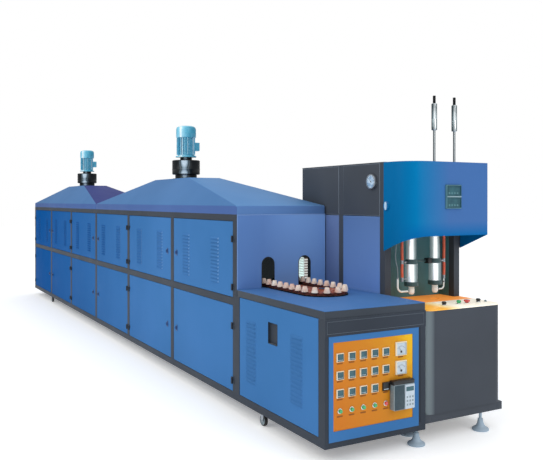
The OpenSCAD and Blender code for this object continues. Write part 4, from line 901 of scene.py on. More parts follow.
for k, z in enumerate((597, 487)):
    place = spot(0, 530, z)
    meter = moved(instrument(f"panel_meter_{k + 1}", 80, 80, 10, 5, 3, 40), place)
    fitted(meter, cream_plastic)
    second_finish(meter, meter_white, lambda at, way: way.x > 0.9 and at.x < corner.x + 0.009)
    ticks = []
    for degree in range(-50, 51, 10):
        tick = rounded_box("tick", mm(6.6, -0.6, 30), mm(7.6, 0.6, 36), 0.0002, 1)
        ticks.append(moved(tick, turn=(degree, 0, 0)))
    needle = moved(rounded_box("needle", mm(7.2, -0.7, 0), mm(8.2, 0.7, 34), 0.0002, 1), turn=(32, 0, 0))
    boss = turned("boss", [(0.1, 0), (7, 0), (7, 2), (6, 3), (0.1, 3)], 20)
    scale = joined(f"meter_scale_{k + 1}", needle, moved(boss, mm(6, 0, 0), (0, 90, 0)), *ticks)
    fitted(moved(scale, place + mm(0, 0, -18)), black_plastic)

# inverter: a ribbed grey case with a dark front, a pale keypad and a terminal cover,
# all moulded, with a faint grain that breaks their sheen
grey_plastic = mottled("moulded_grey_plastic", "6f8088", "8b9ba1", 60, 0.45, detail=3.0)
slate_plastic = mottled("slate_moulded_plastic", "2c3d46", "3b4e57", 50, detail=3.0, Specular_IOR_Level=0.3)
lo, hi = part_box("inverter")
near_lo, near_far, out_lo = Vector((lo.x, lo.y, hi.z)), Vector((lo.x, hi.y, hi.z)), Vector((hi.x, lo.y, hi.z))
case = rounded_box("inverter_case", lo, (lo.x + 0.042, hi.y, hi.z - 0.022), 0.003)
fitted(case, grey_plastic, replaced=["inverter"])
for name, low, high, round_by, segments, material, slot_name in (
    ("inverter_front", lo + mm(40, 4, 4), near_lo + mm(45, 72, -26), 0.0015, 2, slate_plastic, "black_plastic"),
    ("terminal_cover", near_lo + mm(0, -3, -24), near_far + mm(40, 3, 0), 0.003, 2, black_plastic, "black_plastic"),
    ("keypad", lo + mm(40, 76, 4), hi + mm(-1, -4, -26), 0.002, 2, meter_white, "instrument_plastic"),
    ("keypad_window", out_lo + mm(-3, 83, -64), hi + mm(0, -11, -38), 0.001, 1, display_glass, "black_plastic"),
):
    fitted(rounded_box(name, low, high, round_by, segments), material)
pads = []
for z in (22, 44, 66):
    for y in (85, 105, 125):
        low = Vector((hi.x - 0.003, lo.y + y / 1000, lo.z + z / 1000))
        pads.append(rounded_box("pad", low, low + mm(2.8, 12, 12), 0.001, 1))
fitted(joined("keypad_keys", *pads), grey_plastic)
ribs = [rounded_box("rib", lo + mm(8, -1.5, z), lo + mm(34, 2, z + 10), 0.001, 1) for z in range(14, 115, 20)]
fitted(joined("inverter_ribs", *ribs), grey_plastic)

# push buttons: a turned chrome collar on the plate, mirror bright under a thin film,
# and a domed cap of clear-coloured plastic with a polished top
chrome = mottled("polished_chrome", "cfd4d8", "eef1f3", 14, 0.1, 1.0, 4.0, wear=(0.05, 0.18))
clear = {"scale": 120, "roughness": 0.18, "Coat_Weight": 0.6, "Coat_Roughness": 0.05}
green_lens = mottled("green_lens_plastic", "1f9255", "35b573", **clear)
red_lens = mottled("red_lens_plastic", "b8262c", "df4a44", **clear)
collar_turning = [(11.4, -20), (13, -20), (13, 0), (16, 0), (16, 3.6), (14, 6), (12, 6), (11.4, 5), (11.4, -20)]
collar = turned("button_collar", collar_turning, 32)
cap = turned("button_cap", [(0.1, -20), (11, -20), (11, 13), (10, 14.6), (7, 15), (0.1, 15)], 32)
for k, node in enumerate(("button_green_1", "button_green_2", "button_green_3", "button_green_4", "button_red")):
    place = spot(0, control_columns[k], 292)
    fitted(another(collar, f"button_collar_{k + 1}", place, (0, 90, 0)), chrome)
    lens, slot_name = (red_lens, "red_plastic") if node == "button_red" else (green_lens, "green_plastic")
    fitted(another(cap, node + "_cap", place, (0, 90, 0)), lens, node, [node])
discard(collar, cap)

# ---------------------------------------------------------------- feet
# Bell-shaped levelling feet, cast and painted pale grey, on threaded stems
# screwed up into the frame's tubes. The paint is soft and cloudy, as on a rough casting.
foot_paint = enamel("pale_foot_enamel", "a9bccb", "8fa4b5", roughness=0.4)
feet = [
    (-32, 676, 92), (-4690, 676, 92), (-8260, 676, 92), (-200, 755, 117), (-45, 1217, 117), (-1392, 755, 117),
    (-1392, 1217, 117),
]
for k, (x, y, high) in enumerate(feet):
    foot = turned(f"levelling_foot_{k + 1}", [
        (0.1, 0), (52, 0), (53.5, 2), (53.5, 8), (50, 14), (42, 18), (34, 23), (28, 29), (23, 38), (19, 50), (17, 62),
        (14, 66), (17, 66.5), (17, 71), (10, 71.5), (10, 74), (9, 75), (10, 77), (9, 79), (10, 81), (9, 83), (10, 85),
        (10, high), (0.1, high),
    ], 40)
    fitted(moved(foot, spot(x, y, 0)), foot_paint, replaced=["levelling_feet"])

# ---------------------------------------------------------------- casters
# Swivel casters: a zinc-plated pressed fork under a swivel plate, and a black
# rubber tyre moulded on a grey nylon hub that turns on the fork's axle.
# Zinc shows a broken, dull glitter of small crystals; the tyre is matt and scuffed.
zinc = mottled("zinc_plated_steel", "b9bec4", "8f969d", -220, 0.35, 1.0, wear=(0.28, 0.48))
paint("caster_forks", zinc)
rubber = mottled("moulded_rubber", "17181a", "2b2c2e", 90, 0.75, detail=4.0, bump=(0.0005, 0.5))
tyre = turned("caster_tyre", [
    (30, -11.5), (33, -12), (35.5, -10.5), (37.2, -7), (37.5, -3), (37.5, 3), (37.2, 7), (35.5, 10.5), (33, 12),
    (30, 11.5), (30, -11.5),
], 40)
wheel_hub = turned("caster_hub", [
    (4.1, -12), (9, -12), (9.5, -11.5), (10, -8), (24, -8), (26, -11), (30, -11), (30, 11), (26, 11), (24, 8), (10, 8),
    (9.5, 11.5), (9, 12), (4.1, 12), (4.1, -12),
], 40)
for k in range(1, 5):
    node = f"caster_wheel_{k}"
    lo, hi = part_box(node)
    centre = (lo + hi) / 2
    fitted(another(tyre, node + "_tyre", centre, (90, 0, 0)), rubber, node, [node])
    fitted(another(wheel_hub, node + "_hub", centre, (90, 0, 0)), grey_plastic, node)
discard(tyre, wheel_hub)

# ---------------------------------------------------------------- chain
# A roller chain of stamped brown-lacquered plates laid flat; each outer link
# carries a moulded cream cone that takes one preform by its neck.
# The lacquer is matt and patchy with grime, the nylon stained towards pink.
carrier_brown = mottled(
    "brown_chain_lacquer", "4a2119", "7d4030", 55, 0.5, detail=4.0, between=(0.35, 0.7), wear=(0.38, 0.62),
    Specular_IOR_Level=0.3,
)
wheel_lo, wheel_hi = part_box("return_wheel")
chain_low = wheel_lo.z
return_at = Vector(((wheel_lo.x + wheel_hi.x) / 2, (wheel_lo.y + wheel_hi.y) / 2, chain_low))
# half a turn takes twelve links, whose pins lie on its radius
turn_radius = 0.150
turn_links = 12
straight_links = 188
link_pitch = 2 * turn_radius * math.sin(math.pi / turn_links / 2)
drive_at = return_at.x - straight_links * link_pitch


def pin_place(k):
    """Where the loop's pin k stands, from the near turn onwards."""
    lap, k = divmod(k, turn_links + straight_links)
    way, centre = (-1, drive_at) if lap % 2 else (1, return_at.x)
    if k <= turn_links:
        x, y, z = ring_place(turn_radius, -90 * way + k * 180 / turn_links)
        return Vector((centre + x, return_at.y + y, 0))
    return Vector((centre - way * (k - turn_links) * link_pitch, return_at.y + way * turn_radius, 0))


def link_plate(low):
    """A stamped side plate from one pin to the next: a round plate with one half moved along."""
    half = {"vertices": 12, "radius": 0.009, "depth": 0.0025, "rotation": (0, 0, math.radians(15))}
    plate = start("cylinder", "plate", location=(0, 0, chain_low + low + 0.00125), **half)
    for vertex in plate.data.vertices:
        if vertex.co.x > 0.001:
            vertex.co.x += link_pitch
    return plate


def link(name, plates, radius, low, high):
    """A link: two plates, a pin or roller at each end, and the moulded block between the plates."""
    parts = [link_plate(plate) for plate in plates]
    for x in (0, link_pitch):
        middle = (x, 0, chain_low + (low + high) / 2)
        parts.append(start("cylinder", "pin", vertices=8, radius=radius, depth=high - low, location=middle))
    block = start_box("block", (0.0075, -0.0045, chain_low + 0.0055), (link_pitch - 0.0075, 0.0045, chain_low + 0.0115))
    return joined(name, *parts, block)


outer = link("outer_link", (0, 0.017), 0.004, 0, 0.0195)
inner = link("inner_link", (0.0028, 0.0117), 0.006, 0.0028, 0.0142)
cone = turned("carrier", [(0.1, -2), (22, -2), (22, 1), (14, 31), (13, 33), (9.5, 33), (9, 8), (0.1, 8)], 12, 30)
links, carriers = [], []
for k in range(2 * (turn_links + straight_links)):
    a, b = pin_place(k), pin_place(k + 1)
    turn = math.degrees(math.atan2(b.y - a.y, b.x - a.x))
    links.append(another(inner if k % 2 else outer, "link", a, (0, 0, turn)))
    if k % 2 == 0:
        middle = (a + b) / 2
        carriers.append(another(cone, "carrier", (middle.x, middle.y, chain_low + 0.0196)))
chain = joined("carrier_chain_links", *links)
bpy.ops.object.shade_smooth_by_angle(angle=math.radians(35))
fitted(chain, carrier_brown, replaced=["carrier_chain"])
carrier_cream = mottled("moulded_cream_nylon", "dfb9a6", "f5e8d8", 18, 0.45, detail=3.0, between=(0.38, 0.62))
fitted(joined("preform_carriers", *carriers), carrier_cream)
discard(outer, inner, cone)

return_disc = turned("return_disc", [
    (20.1, 0), (137, 0), (139, 2), (139, 15), (137, 17), (118, 17), (116, 15), (52, 15), (50, 17), (36, 17), (34, 18.5),
    (34, 24), (33, 25), (21, 25), (20.1, 24), (20.1, 0),
], 96)
for k in range(6):
    hole = start("cylinder", "hole", vertices=32, radius=0.026, depth=0.012, location=(0, 0, 0.015))
    cut_out(return_disc, moved(hole, ring_place(0.084, 60 * k)))
tidy_mesh(return_disc, 30)
# the disc's lacquer is worn redder and paler than the chain's
disc_brown = mottled(
    "red_brown_disc_lacquer", "8a4a3a", "ad6a55", 14, 0.5, detail=4.0, between=(0.3, 0.7), Specular_IOR_Level=0.3
)
fitted(moved(return_disc, return_at), disc_brown, "return_wheel", ["return_wheel"])
# a brown sheet screwed to the table fills the space between the lanes, under the disc
lane_low = (wall_x + 0.0004, return_at.y - 0.131, chain_low - 0.0062)
lane_sheet = rounded_box("lane_sheet", lane_low, return_at + mm(0, 131, -3.2), 0.0007, 1)
fitted(lane_sheet, disc_brown)
# machined steel: fine cutter marks break its mirror into patches
steel = mottled("machined_steel", "8a9097", "b7bcc2", 70, 0.3, 1.0, 5.0, wear=(0.24, 0.42))
for node in ("fan_rotor_far", "fan_rotor_near", "drive_sprocket", "clamp_frame", "moving_platen"):
    paint(node, steel)
# the drive is glossy black; the track is worn to a dull black by the chain
paint("chain_drive", black_enamel)
paint("chain_track", enamel("worn_black_track", "1b191a", "121012", 0.05, 0.65, 0.1))

# ---------------------------------------------------------------- heaters
# Banks of quartz lamps across the oven, each lamp in white ceramic holders at
# 19 mm spacing in a polished tray; the arches show the holders' striped ends.
# Glazed ceramic is smooth and white; the brown at the gaps between holders is painted shade.
lamp_white, shader = new_finish("glazed_ceramic_painted_glow", 0.3)
place = add_node(lamp_white, "TexCoord").outputs["Object"]
rise = add_node(lamp_white, "SeparateXYZ", {"Vector": place})
pitch = {"Value": rise.outputs["Z"], "From Min": 0.885, "From Max": 0.904}
count_up = add_node(lamp_white, "MapRange", pitch, clamp=False)
step = add_node(lamp_white, "Math", {0: count_up.outputs[0]}, operation="FRACT")
tones = add_node(lamp_white, "ValToRGB", {"Fac": step.outputs[0]}, [(0, "eef0ec"), (0.6, "6f5a50")])
tones.color_ramp.interpolation = "CONSTANT"
# the holders seen through the far arch are painted lit and given a painted glow; elsewhere they are painted near black,
# as the oven's shade
lit = 1.0
for axis, limit, side in (
    ("Y", arch_centres[1], "GREATER_THAN"), ("X", wall_x - 0.27, "GREATER_THAN"), ("Z", spring + 0.020, "LESS_THAN")
):
    within = add_node(lamp_white, "Math", {0: rise.outputs[axis], 1: limit}, operation=side)
    lit = add_node(lamp_white, "Math", {0: lit, 1: within.outputs[0]}, operation="MULTIPLY").outputs[0]
inner = add_node(lamp_white, "Math", {0: rise.outputs["X"], 1: wall_x - 0.128}, operation="LESS_THAN")
striped = {0: inner.outputs[0], 6: tones.outputs["Color"], 7: srgb("cddbd9")}
stripes = add_node(lamp_white, "Mix", striped, data_type="RGBA")
for socket, dark in (("Base Color", "23282a"), ("Emission Color", "24282a")):
    lighted = {0: lit, 6: srgb(dark), 7: stripes.outputs[2]}
    shown = add_node(lamp_white, "Mix", lighted, data_type="RGBA")
    join_nodes(lamp_white, shown.outputs[2], shader.inputs[socket])
shader.inputs["Emission Strength"].default_value = 0.65
paint("heater_banks", lamp_white)

# ---------------------------------------------------------------- station
# The station's cabinet: folded sheets between dark posts, blue below the band
# and dark above, a dark back wall in the bay, and a flat cover on top.
# The blue is a satin enamel painted darker upwards as painted shade, and the near sheet by the oven darker as the end
# wall's shadow; the bay's is washed with green.
station_painted_shade_run = [("Z", 0.940, 1.330, "5574a8")]
station_enamel = enamel("violet_blue_enamel", "698dcb", "6084c1", 0.12, toward=station_painted_shade_run)
shaded_enamel = enamel("painted_shade_violet_enamel", "6379a6", "5a6f9b", 0.08, 0.5)
bay_enamel = enamel("dark_bay_enamel", "578d96", "41727c", 0.3, 0.3)
for side in ("near", "far"):
    for k, (x0, x1) in enumerate(((-1416, -921), (-869, -451))):
        # the near lower sheet next to the oven's end wall is painted darker, as its shadow
        lower_paint = shaded_enamel if k == 0 and side == "near" else station_enamel
        for level, z0, z1, material, slot_name in (
            ("lower", 118, 1358, lower_paint, "blue_paint"),
            ("upper", 1361, 1709, dark_enamel, "dark_paint"),
        ):
            tray = folded_panel(f"cabinet_{side}_{level}_{k + 1}", (x1 - x0) / 1000, 0.008, (z1 - z0) / 1000)
            if side == "far":
                moved(tray, spot(x1, 1382, z0), (0, 0, 180))
            else:
                moved(tray, spot(x0, 728, z0))
            fitted(tray, material, replaced=["station_panels"])
        # the upper tray's rolled folds are painted pale, as painted highlights
        second_finish(tray, line_enamel, lambda at, way: 0.3 < abs(way.y) < 0.98)
for name, low, high, material, slot_name in (
    ("cabinet_end_lower", (-1419, 730, 118), (-1417, 1380, 1358), station_enamel, "blue_paint"),
    ("cabinet_end_upper", (-1419, 730, 1361), (-1417, 1380, 1709), dark_enamel, "dark_paint"),
    ("cabinet_cover", (-1419, 728, 1712), (-400.5, 1382, 1715), dark_enamel, "dark_paint"),
    ("bay_back", (-547, 780, 800.5), (-545, 1330, 1664), bay_enamel, "dark_paint"),
    ("bay_left", (-544.8, 780, 800.5), (-450, 782, 1664), bay_enamel, "dark_paint"),
    ("bay_right", (-544.8, 1328, 800.5), (-450, 1330, 1664), bay_enamel, "dark_paint"),
):
    sheet = rounded_box(name, spot(*low), spot(*high), 0.0007, 1)
    fitted(sheet, material, replaced=["station_panels"])

# the head hood: one sheet rolled round the near left corner, cut on a slope below;
# its satin enamel is painted from violet blue at the side to a deep clear blue in front, as painted reflections
near_y, mid_y = spot(0, 800, 0).y, spot(0, 1060, 0).y
hood_painted_light_runs = [
    ("Y", near_y, mid_y, "446ca6"), ("Z", 1.33, 1.235, "0063a4"), ("Y", near_y, spot(0, 725, 0).y, "00659c")
]
hood_enamel = enamel("deep_blue_hood_enamel", "0078b0", "006da5", 0.04, 0.4, toward=hood_painted_light_runs)
hood = start_box("head_hood_sheet", spot(-400, 720, 1100), spot(-150, 1390, 1712))
edit()
open_face(lambda at, way: way.x < -0.9 or way.z < -0.9)
corner_at = spot(-150, 720, 0)
roll(0.160, 20, lambda at, way: abs(way.z) > 0.9 and (at.xy - corner_at.xy).length < 0.001)
bpy.ops.mesh.select_all(action="SELECT")
bpy.ops.mesh.bisect(plane_co=spot(-400, 0, 1135), plane_no=(-0.102, 0, 0.250), clear_inner=True)
roll(0.003, 2, lambda at, way: at.z > 1.7119 and at.x > spot(-399, 0, 0).x)
edit(False)
thicken(hood, 0.003)
fitted(tidy_mesh(hood, 30), hood_enamel, replaced=["head_hood"])
seal = rounded_box("hood_edge_seal", spot(-404, 1379.6, 1137), spot(-399.6, 1387.4, 1708), 0.0007, 1)
fitted(seal, black_plastic)
# the left and right cavity and stop rod, in mm from the door side
cavity_y = (952, 1158)
stop_rod_y = (1016, 1190)
grommet = turned("rod_grommet", [(9, 0), (20, 0), (20, 2.5), (17, 4), (10, 4), (9, 3), (9, 0)], 24)
for k, y in enumerate(stop_rod_y):
    fitted(another(grommet, f"rod_grommet_{k + 1}", spot(-250, y, 1712)), black_plastic)
discard(grommet)

# the open ends of the base rails are closed with pressed-in caps
for k, y in enumerate((755, 1355)):
    cap = rounded_box(f"rail_end_cap_{k + 1}", spot(-22, y - 24.2, 117.8), spot(-18.1, y + 24.2, 166.2), 0.0012)
    fitted(cap, dark_enamel)

# ---------------------------------------------------------------- gauges
# A glycerine pressure gauge with a turned rim over a pale face, an oval level
# glass, and two timers with smoked windows on the hood's front.
# The printed face is smooth and washed with blue, the timers are dark satin plastic.
dial_face = mottled("printed_dial_face", "86a8c8", "c3d8ea", 35, 0.25, between=(0.4, 0.62))
gauge_at, to_door_side = spot(-525, 728, 1589), (90, 0, 0)
rim = turned("pressure_gauge_rim", [
    (0.1, 0), (45, 0), (50, 2), (50, 17), (48.5, 21), (46, 22), (43, 21.5), (42.5, 17), (0.1, 17)
])
fitted(moved(rim, gauge_at, to_door_side), zinc, replaced=["head_instruments"])
face = turned("pressure_gauge_face", [(0.1, 17), (42.5, 17), (42, 17.6), (0.1, 17.6)])
fitted(moved(face, gauge_at, to_door_side), dial_face)
marks = []
for degree in range(-135, 136, 27):
    marks.append(moved(start_box("tick", mm(-0.9, 31, 0), mm(0.9, 39, 0.6)), turn=(0, 0, degree)))
needle = start_box("needle", mm(-1.1, -10, 0.7), mm(1.1, 33, 1.3))
edit()
pick(lambda at, way: at.y > 0.030 and abs(way.x) > 0.9, "EDGE")
bpy.ops.transform.resize(value=(0.3, 1, 1))
edit(False)
marks.append(moved(needle, turn=(0, 0, 48)))
boss = turned("boss", [(0.1, 0.6), (4.5, 0.6), (4.5, 2), (3, 2.6), (0.1, 2.6)], 16)
scale = moved(joined("pressure_gauge_scale", boss, *marks), mm(0, 0, 17.6))
fitted(moved(scale, gauge_at, to_door_side), black_plastic)

# the oil level glass on the hood: an opal oval window on a boss painted with the hood
level_white = mottled("opal_glass", "9cc0de", "c2daec", 40, 0.2)
level_at = spot(-370, 720, 1428)
level_boss = turned("hood_level_boss", [(0.1, 0), (29, 0), (29, 4), (28, 5.5), (26, 6), (0.1, 6)], 40)
fitted(moved(level_boss, level_at, to_door_side), hood_enamel, replaced=["head_instruments"])
level_glass = turned("hood_level_glass", [(0.1, 6), (27, 6), (27, 10), (26, 12), (23, 13), (0.1, 13)], 40)
edit()
bpy.ops.transform.resize(value=(0.4, 1, 1))
edit(False)
tidy_mesh(level_glass)
moved(level_glass, level_at, to_door_side)
fitted(level_glass, level_white, replaced=["head_instruments"])

timer_shell = mottled("dark_green_plastic", "45717c", "5b8a92", 20, 0.35, Specular_IOR_Level=0.4)
for k, z in enumerate((1526, 1449)):
    place = spot(-150, 1083, z)
    case = moved(instrument(f"timer_{k + 1}", 130, 76, 10, 6, 2, 4), place)
    fitted(case, timer_shell, replaced=["head_instruments"])
    second_finish(case, display_glass, lambda at, way: way.x > 0.9 and at.x < place.x + 0.009)
    digits = rounded_box(f"timer_window_{k + 1}", mm(8.2, -45, 4), mm(9.6, 45, 24), 0.0005, 1)
    fitted(moved(digits, place), display_glass)
    pads = [rounded_box("pad", mm(8.2, y, -22), mm(9.8, y + 14, -10), 0.0008, 1) for y in (-45, -22, 1, 24)]
    fitted(moved(joined(f"timer_keys_{k + 1}", *pads), place), timer_shell)
trim = rounded_box("timer_trim", spot(-150, 1028, 1485.5), spot(-139.6, 1148, 1489.5), 0.0006, 1)
fitted(trim, meter_white)

# ---------------------------------------------------------------- desk
# The control desk: a dark sheet shell rolled round its two near corners under
# a cream-laminated top plate, with chrome-collared heads, a stop and a lamp.
# The shell's satin grey is painted paler round its near corner, as a painted reflection.


def near_corners(at, way):
    """Whether an edge stands upright at one of the desk's two near corners."""
    return abs(way.z) > 0.9 and at.x > spot(-20, 0, 0).x


shell = sheet_shell(
    "desk_shell", spot(-270, 730, 167), spot(-10, 1380, 794),
    lambda at, way: way.x < -0.9 or abs(way.z) > 0.9, near_corners, 0.070, 14, 0.002,
)
# the shell is painted paler towards its near corner, as a painted reflection
desk_painted_light_run = [("Y", spot(0, 805, 0).y, spot(0, 742, 0).y, "8d9ba0")]
desk_enamel = enamel("desk_grey_enamel", "474d56", "3c4149", 0.12, toward=desk_painted_light_run)
fitted(shell, desk_enamel, replaced=["control_desk"])

desk_top, shader = new_finish("laminate_painted_highlight", 0.35)
place = add_node(desk_top, "TexCoord").outputs["Object"]
split = add_node(desk_top, "SeparateXYZ", {"Vector": place})
# the top's yellow orange is painted paling into cream along it, as a painted highlight
run = {"Value": split.outputs["Y"], "From Min": near_y, "From Max": spot(0, 1380, 0).y}
along = add_node(desk_top, "MapRange", run)
speckle = add_node(desk_top, "TexNoise", {"Vector": place, "Scale": 30.0, "Detail": 3.0})
stir = add_node(desk_top, "MapRange", {"Value": speckle.outputs["Fac"], "To Min": -0.04, "To Max": 0.04})
blend = add_node(desk_top, "Math", {0: along.outputs[0], 1: stir.outputs[0]}, operation="ADD")
desk_stops = [(0.16, "f2ae40"), (0.27, "f6dca0"), (0.4, "fbf3e0")]
tones = add_node(desk_top, "ValToRGB", {"Fac": blend.outputs[0]}, desk_stops)
join_nodes(desk_top, tones.outputs["Color"], shader.inputs["Base Color"])
# the top is given a painted glow, so it stays light in shade
join_nodes(desk_top, tones.outputs["Color"], shader.inputs["Emission Color"])
shader.inputs["Emission Strength"].default_value = 0.28
top = start_box("desk_top_plate", spot(-274, 726, 794), spot(-6, 1384, 800))
edit()
roll(0.074, 14, near_corners)
roll(0.0016, 2, lambda at, way: abs(way.z) < 0.1)
edit(False)
fitted(tidy_mesh(top, 30), desk_top, replaced=["control_desk"])
desk_collar = turned("desk_collar", collar_turning, 32)
head = turned("desk_head", [
    (0.1, -20), (11, -20), (11, 12), (15, 12), (15, 19), (14, 22), (11, 25), (6, 25), (4, 24), (0.1, 24)
], 32)
stop_head = turned("stop_head", [
    (0.1, -20), (11, -20), (11, 12), (19, 12), (20, 14), (20, 19), (18.5, 22), (14, 24.3), (8, 25), (0.1, 25)
], 40)
for node, y, shape, material, slot_name in (
    ("desk_button_black", 980, head, black_plastic, "black_plastic"),
    ("desk_button_green", 1105, head, green_lens, "green_plastic"),
    ("desk_stop_button", 1175, stop_head, red_lens, "red_plastic"),
    ("desk_button_cycle", 1275, head, black_plastic, "black_plastic"),
):
    fitted(another(desk_collar, node + "_collar", spot(-120, y, 800)), chrome, replaced=["control_desk"])
    fitted(another(shape, node + "_head", spot(-120, y, 800)), material, node, [node])
lamp_cap = turned("desk_lamp", [(0.1, 0), (9, 0), (9, 3), (7, 4), (7, 9), (5.5, 11.4), (3, 12), (0.1, 12)], 24)
fitted(moved(lamp_cap, spot(-120, 1340, 800)), grey_plastic, replaced=["control_desk"])
discard(desk_collar, head, stop_head)

# ---------------------------------------------------------------- bed
# The orange bed plate, 8 mm steel with a necking hole and slot over each cavity.
# Signal-orange enamel, with a painted glow so that it stays bright in the bay's shade.
bed_painted_glow = {"Emission_Color": srgb("f0923a"), "Emission_Strength": 0.5}
orange_enamel = enamel("orange_bed_enamel", "e3943e", "d98436", 0.2, dust=0.05, **bed_painted_glow)
paint("bed_plate", orange_enamel)

# ---------------------------------------------------------------- blow heads
# Two chromed blow cylinders on a head plate, tied by dark collars, with white
# nylon nozzles below and red air hoses down the outside of each.
# The bay is dim, so what a tube mirrors of the room in front is drawn as a weak glow.
chrome_stops = [
    (0.0, "87979a"), (0.14, "a4b2b4"), (0.3, "c0cbcc"), (0.42, "f4f7f8"), (0.64, "fcfdfe"), (0.75, "a5b1b2"),
    (0.86, "6c7b7d"), (1.0, "56666a"),
]
tube_chrome = painted_reflection(
    "drawn_chrome_tube", 0.22, chrome_stops, side_light, ripple=(7, 0.04), glow=0.38, metallic=0.8
)
# anodising is a dark, even satin over the turned metal
collar_teal = enamel("dark_teal_anodising", "3b585c", "2a464b", roughness=0.3)
cylinder_tubes = turned("cylinder_tubes", [
    (21, 925), (42, 925), (42.5, 925.5), (42.5, 1041.5), (42, 1042), (34, 1042), (34, 1449.8), (9.2, 1449.8),
    (9.2, 967), (20.2, 967), (20.2, 925),
])
flange = [(20.2, 895), (45, 895), (47.5, 897), (47.5, 923), (45, 925), (20.2, 925)]
clamped = [
    (34, 1042), (38, 1042), (39.5, 1043.5), (39.5, 1056), (38.5, 1057), (38.5, 1060), (39.5, 1061), (39.5, 1072.5),
    (38, 1074), (34, 1074),
]
cylinder_collars = joined("cylinder_collars", turned("flange", flange, 48, 25), turned("collar", clamped, 48, 25))
for side, y in zip(("left", "right"), cavity_y):
    tubes = another(cylinder_tubes, f"cylinder_tubes_{side}", spot(-400, y, 0))
    fitted(tubes, tube_chrome, replaced=["blow_cylinders"])
    collars = another(cylinder_collars, f"cylinder_collars_{side}", spot(-400, y, 0))
    fitted(collars, collar_teal, replaced=["blow_cylinders"])
discard(cylinder_tubes, cylinder_collars)
head_plate = rounded_box("head_plate", spot(-449.9, 780, 1450), spot(-340, 1330, 1470), 0.002)
fitted(head_plate, steel, replaced=["blow_cylinders"])
valve = rounded_box("collar_valve", spot(-428, 1085, 1040), spot(-382, 1119, 1076), 0.003)
fitted(valve, black_plastic)
cross_bar = rounded_box("collar_bridge", spot(-424, 994, 1050), spot(-410, 1116, 1066), 0.003)
fitted(cross_bar, collar_teal)

# white nylon is cloudy, and it is given a weak painted glow; the hose is soft and bloomed
nylon_painted_glow = {"Emission_Color": srgb("c4dce4"), "Emission_Strength": 0.22}
nylon = mottled("turned_white_nylon", "d3d9d6", "f1f2ec", 25, detail=3.0, **nylon_painted_glow)
red_rubber = mottled("extruded_red_hose", "c9442c", "e4714f", 30, detail=3.0)


def hose_run(name, radius, points):
    """A tube along points (y, z) in mm: a circle extruded from one to the next."""
    (y, z), *rest = points
    run = start("circle", name, vertices=16, radius=radius / 1000, location=mm(0, y, z))
    edit()
    for next_y, next_z in rest:
        push(y=(next_y - y) / 1000, z=(next_z - z) / 1000)
        y, z = next_y, next_z
    edit(False)
    return tidy_mesh(run, 60)


nozzle = turned("nozzle", [
    (9.2, 840), (12, 840), (13, 841), (18, 847.5), (20, 851), (20, 878), (18.5, 880), (18.5, 884), (20, 886),
    (20, 964.6), (9.2, 964.6), (9.2, 840),
], 40)
# screwed fittings: unions on the blow lines, ferrules on the hoses, stubs into the cylinders
union_rim = [(7.5, 0), (8, 1), (8, 9), (7, 10)]
ferrule = [(8, 0), (11, 0), (11, 9), (9.6, 10), (9.6, 15), (11, 16), (11, 24), (10, 25), (8, 25)]
stub = [(0.1, 0), (6, 0), (6, 12), (9, 12.5), (9, 22), (6, 22.5), (6, 29.9), (0.1, 29.9)]
plug = [(0.1, 0), (8, 0), (9, 1), (9, 3), (8.2, 4), (0.1, 4)]
upper_bends = [
    (0.86, 1449.8), (0.9, 1400), (0.95, 1340), (0.99, 1270), (1.02, 1200), (1.03, 1150), (1.01, 1105), (1, 1090),
    (1, 1068),
]
lower_bends = [(1, 1045), (1.02, 1030), (1.03, 1010), (1.02, 985), (1, 970), (1, 956)]
line_height = 862
for k, (name, way) in enumerate((("left", -1), ("right", 1))):
    at = spot(-400, cavity_y[k], 0)
    outward = 78.5 * way
    # the left blow line reaches further out and ends in its own thin air tube;
    # the right one goes straight up into the hose fitting
    radius, reach, bend, rise, top = (6.2, 62, 36, 56, 946) if k == 0 else (5, 36.5, 24, 67.5, 905)
    level = {"vertices": 16, "radius": radius / 1000, "rotation": (math.pi / 2, 0, 0)}
    line = start("circle", f"blow_line_{name}", location=mm(0, way * 18, line_height), **level)
    edit()
    push(y=way * reach / 1000)
    centre = mm(0, way * (18 + reach), line_height + bend)
    bpy.ops.mesh.spin(steps=10, angle=-way * math.pi / 2, center=centre, axis=(1, 0, 0))
    push(z=rise / 1000)
    edit(False)
    tidy_mesh(line, 60)
    low_union = turned("union", [(5, 0), *union_rim, (5, 10)], 6, 20)
    top_union = turned("union", [(3.4, 0), *union_rim, (3.4, 10)], 6, 20)
    unions = [
        moved(low_union, mm(0, way * 20, line_height), (-90 * way, 0, 0)),
        moved(top_union, mm(0, way * (18 + reach + bend), top)),
    ]
    fitted(moved(line, at), nylon, "blow_nozzles", ["blow_nozzles"])
    fitted(another(nozzle, f"nozzle_{name}", at), nylon, "blow_nozzles", ["blow_nozzles"])
    fitted(moved(joined(f"blow_line_unions_{name}", *unions), at), zinc, "blow_nozzles")
    for part, bends in (("upper", upper_bends), ("lower", lower_bends)):
        hose = hose_run(f"hose_{part}_{name}", 10, [(outward * out, z) for out, z in bends])
        fitted(moved(hose, at), red_rubber, replaced=["air_hoses"])
    # the left hose ends in a plugged elbow on the cylinder's foot
    stub_heights = (1056, 943.5) if k == 0 else (1056,)
    fittings = [moved(turned("stub", stub, 16), mm(0, way * 39.5, z), (-90 * way, 0, 0)) for z in stub_heights]
    fittings += [moved(turned("ferrule", ferrule, 20), mm(0, outward, z)) for z in (1044, 931)]
    if k == 0:
        fittings.append(moved(turned("plug", plug, 20), mm(0, outward, 928.5)))
    fitted(moved(joined(f"hose_fittings_{name}", *fittings), at), zinc, replaced=["air_hoses"])
discard(nozzle)
# the thin air tube comes down beside the left hose and pushes into its blow line
air_bends = [
    (0, 948), (0, 985), (-2, 1010), (-5, 1028), (-10, 1045), (-15, 1064), (-18, 1088), (-18, 1115), (-15, 1145),
    (-10, 1175), (-6, 1220), (-3, 1300), (0, 1449),
]
air_line = hose_run("grey_air_line", 3.8, [(y - 116, z) for y, z in air_bends])
fitted(moved(air_line, spot(-400, cavity_y[0], 0)), grey_plastic, "blow_nozzles")
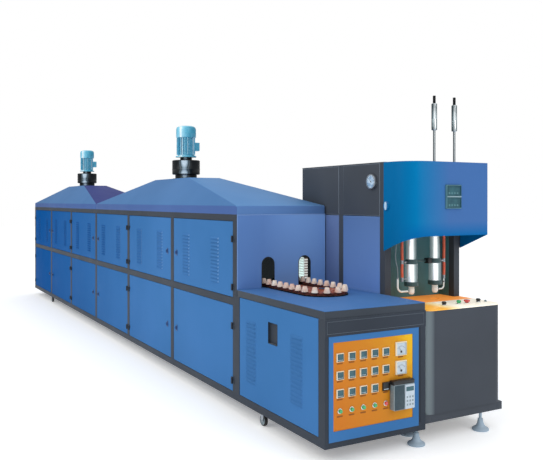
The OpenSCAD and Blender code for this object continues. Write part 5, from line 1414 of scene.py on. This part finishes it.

# ---------------------------------------------------------------- rods
# Each stretch rod hangs from a steel crosshead; beside it a stop rod stands
# up through the hood with a ground sleeve and a blackened threaded end.
# Ground steel is drawn with one clean bright band as a painted reflection; the oiled thread is a dull black.
rod_stops = [
    (0.1, "3f4c50"), (0.25, "66757a"), (0.42, "b9c3c6"), (0.56, "eef2f3"), (0.72, "b4bec1"), (0.95, "8f9ca0")
]
rod_steel = painted_reflection("ground_steel_rod", 0.28, rod_stops, side_light, metallic=1.0)
black_oxide = mottled("blackened_thread", "101214", "2a2d30", 80, 0.5, 0.6)
thread = [(0.1, 2094), (10, 2094)]
for k in range(15):
    thread += [(10, 2095 + 3 * k), (8.6, 2096.5 + 3 * k)]
thread = turned("rod_thread", [*thread, (10, 2141), (8.5, 2144), (8, 2145), (0.1, 2145)], 24, 50)
stop_rod = turned("stop_rod", [
    (0.1, 1664.7), (8, 1664.7), (8, 1920), (15, 1920), (18, 1923), (18, 1990), (17.4, 1991), (17.4, 1993), (18, 1994),
    (18, 2091), (15, 2094), (0.1, 2094),
], 32)
for name, y, stop in zip(("left", "right"), cavity_y, stop_rod_y):
    node = f"stretch_rod_{name}"
    fitted(another(stop_rod, node + "_stop_rod", spot(-250, stop, 0)), rod_steel, node, [node])
    fitted(another(thread, node + "_thread", spot(-250, stop, 0)), black_oxide, node, [node])
    rod = turned("rod", [(0.1, 1100), (6, 1100), (8, 1104), (8, 1665), (0.1, 1665)], 24)
    fitted(moved(rod, spot(-400, y, 0)), rod_steel, node, [node])
    # the crosshead: a round plate with one half moved along, its edges rolled
    reach = Vector((0.150, (stop - y) / 1000))
    bar = start("cylinder", node + "_crosshead", vertices=32, radius=0.022, depth=0.016)
    for vertex in bar.data.vertices:
        if vertex.co.x > 0.0001:
            vertex.co.x += reach.length
    edit()
    roll(0.0015, 2, lambda at, way: abs(abs(at.z) - 0.008) < 0.0001)
    edit(False)
    tidy_mesh(bar, 30)
    moved(bar, spot(-400, y, 1656.7), (0, 0, math.degrees(math.atan2(reach.y, reach.x))))
    fitted(bar, steel, node, [node])
discard(thread, stop_rod)
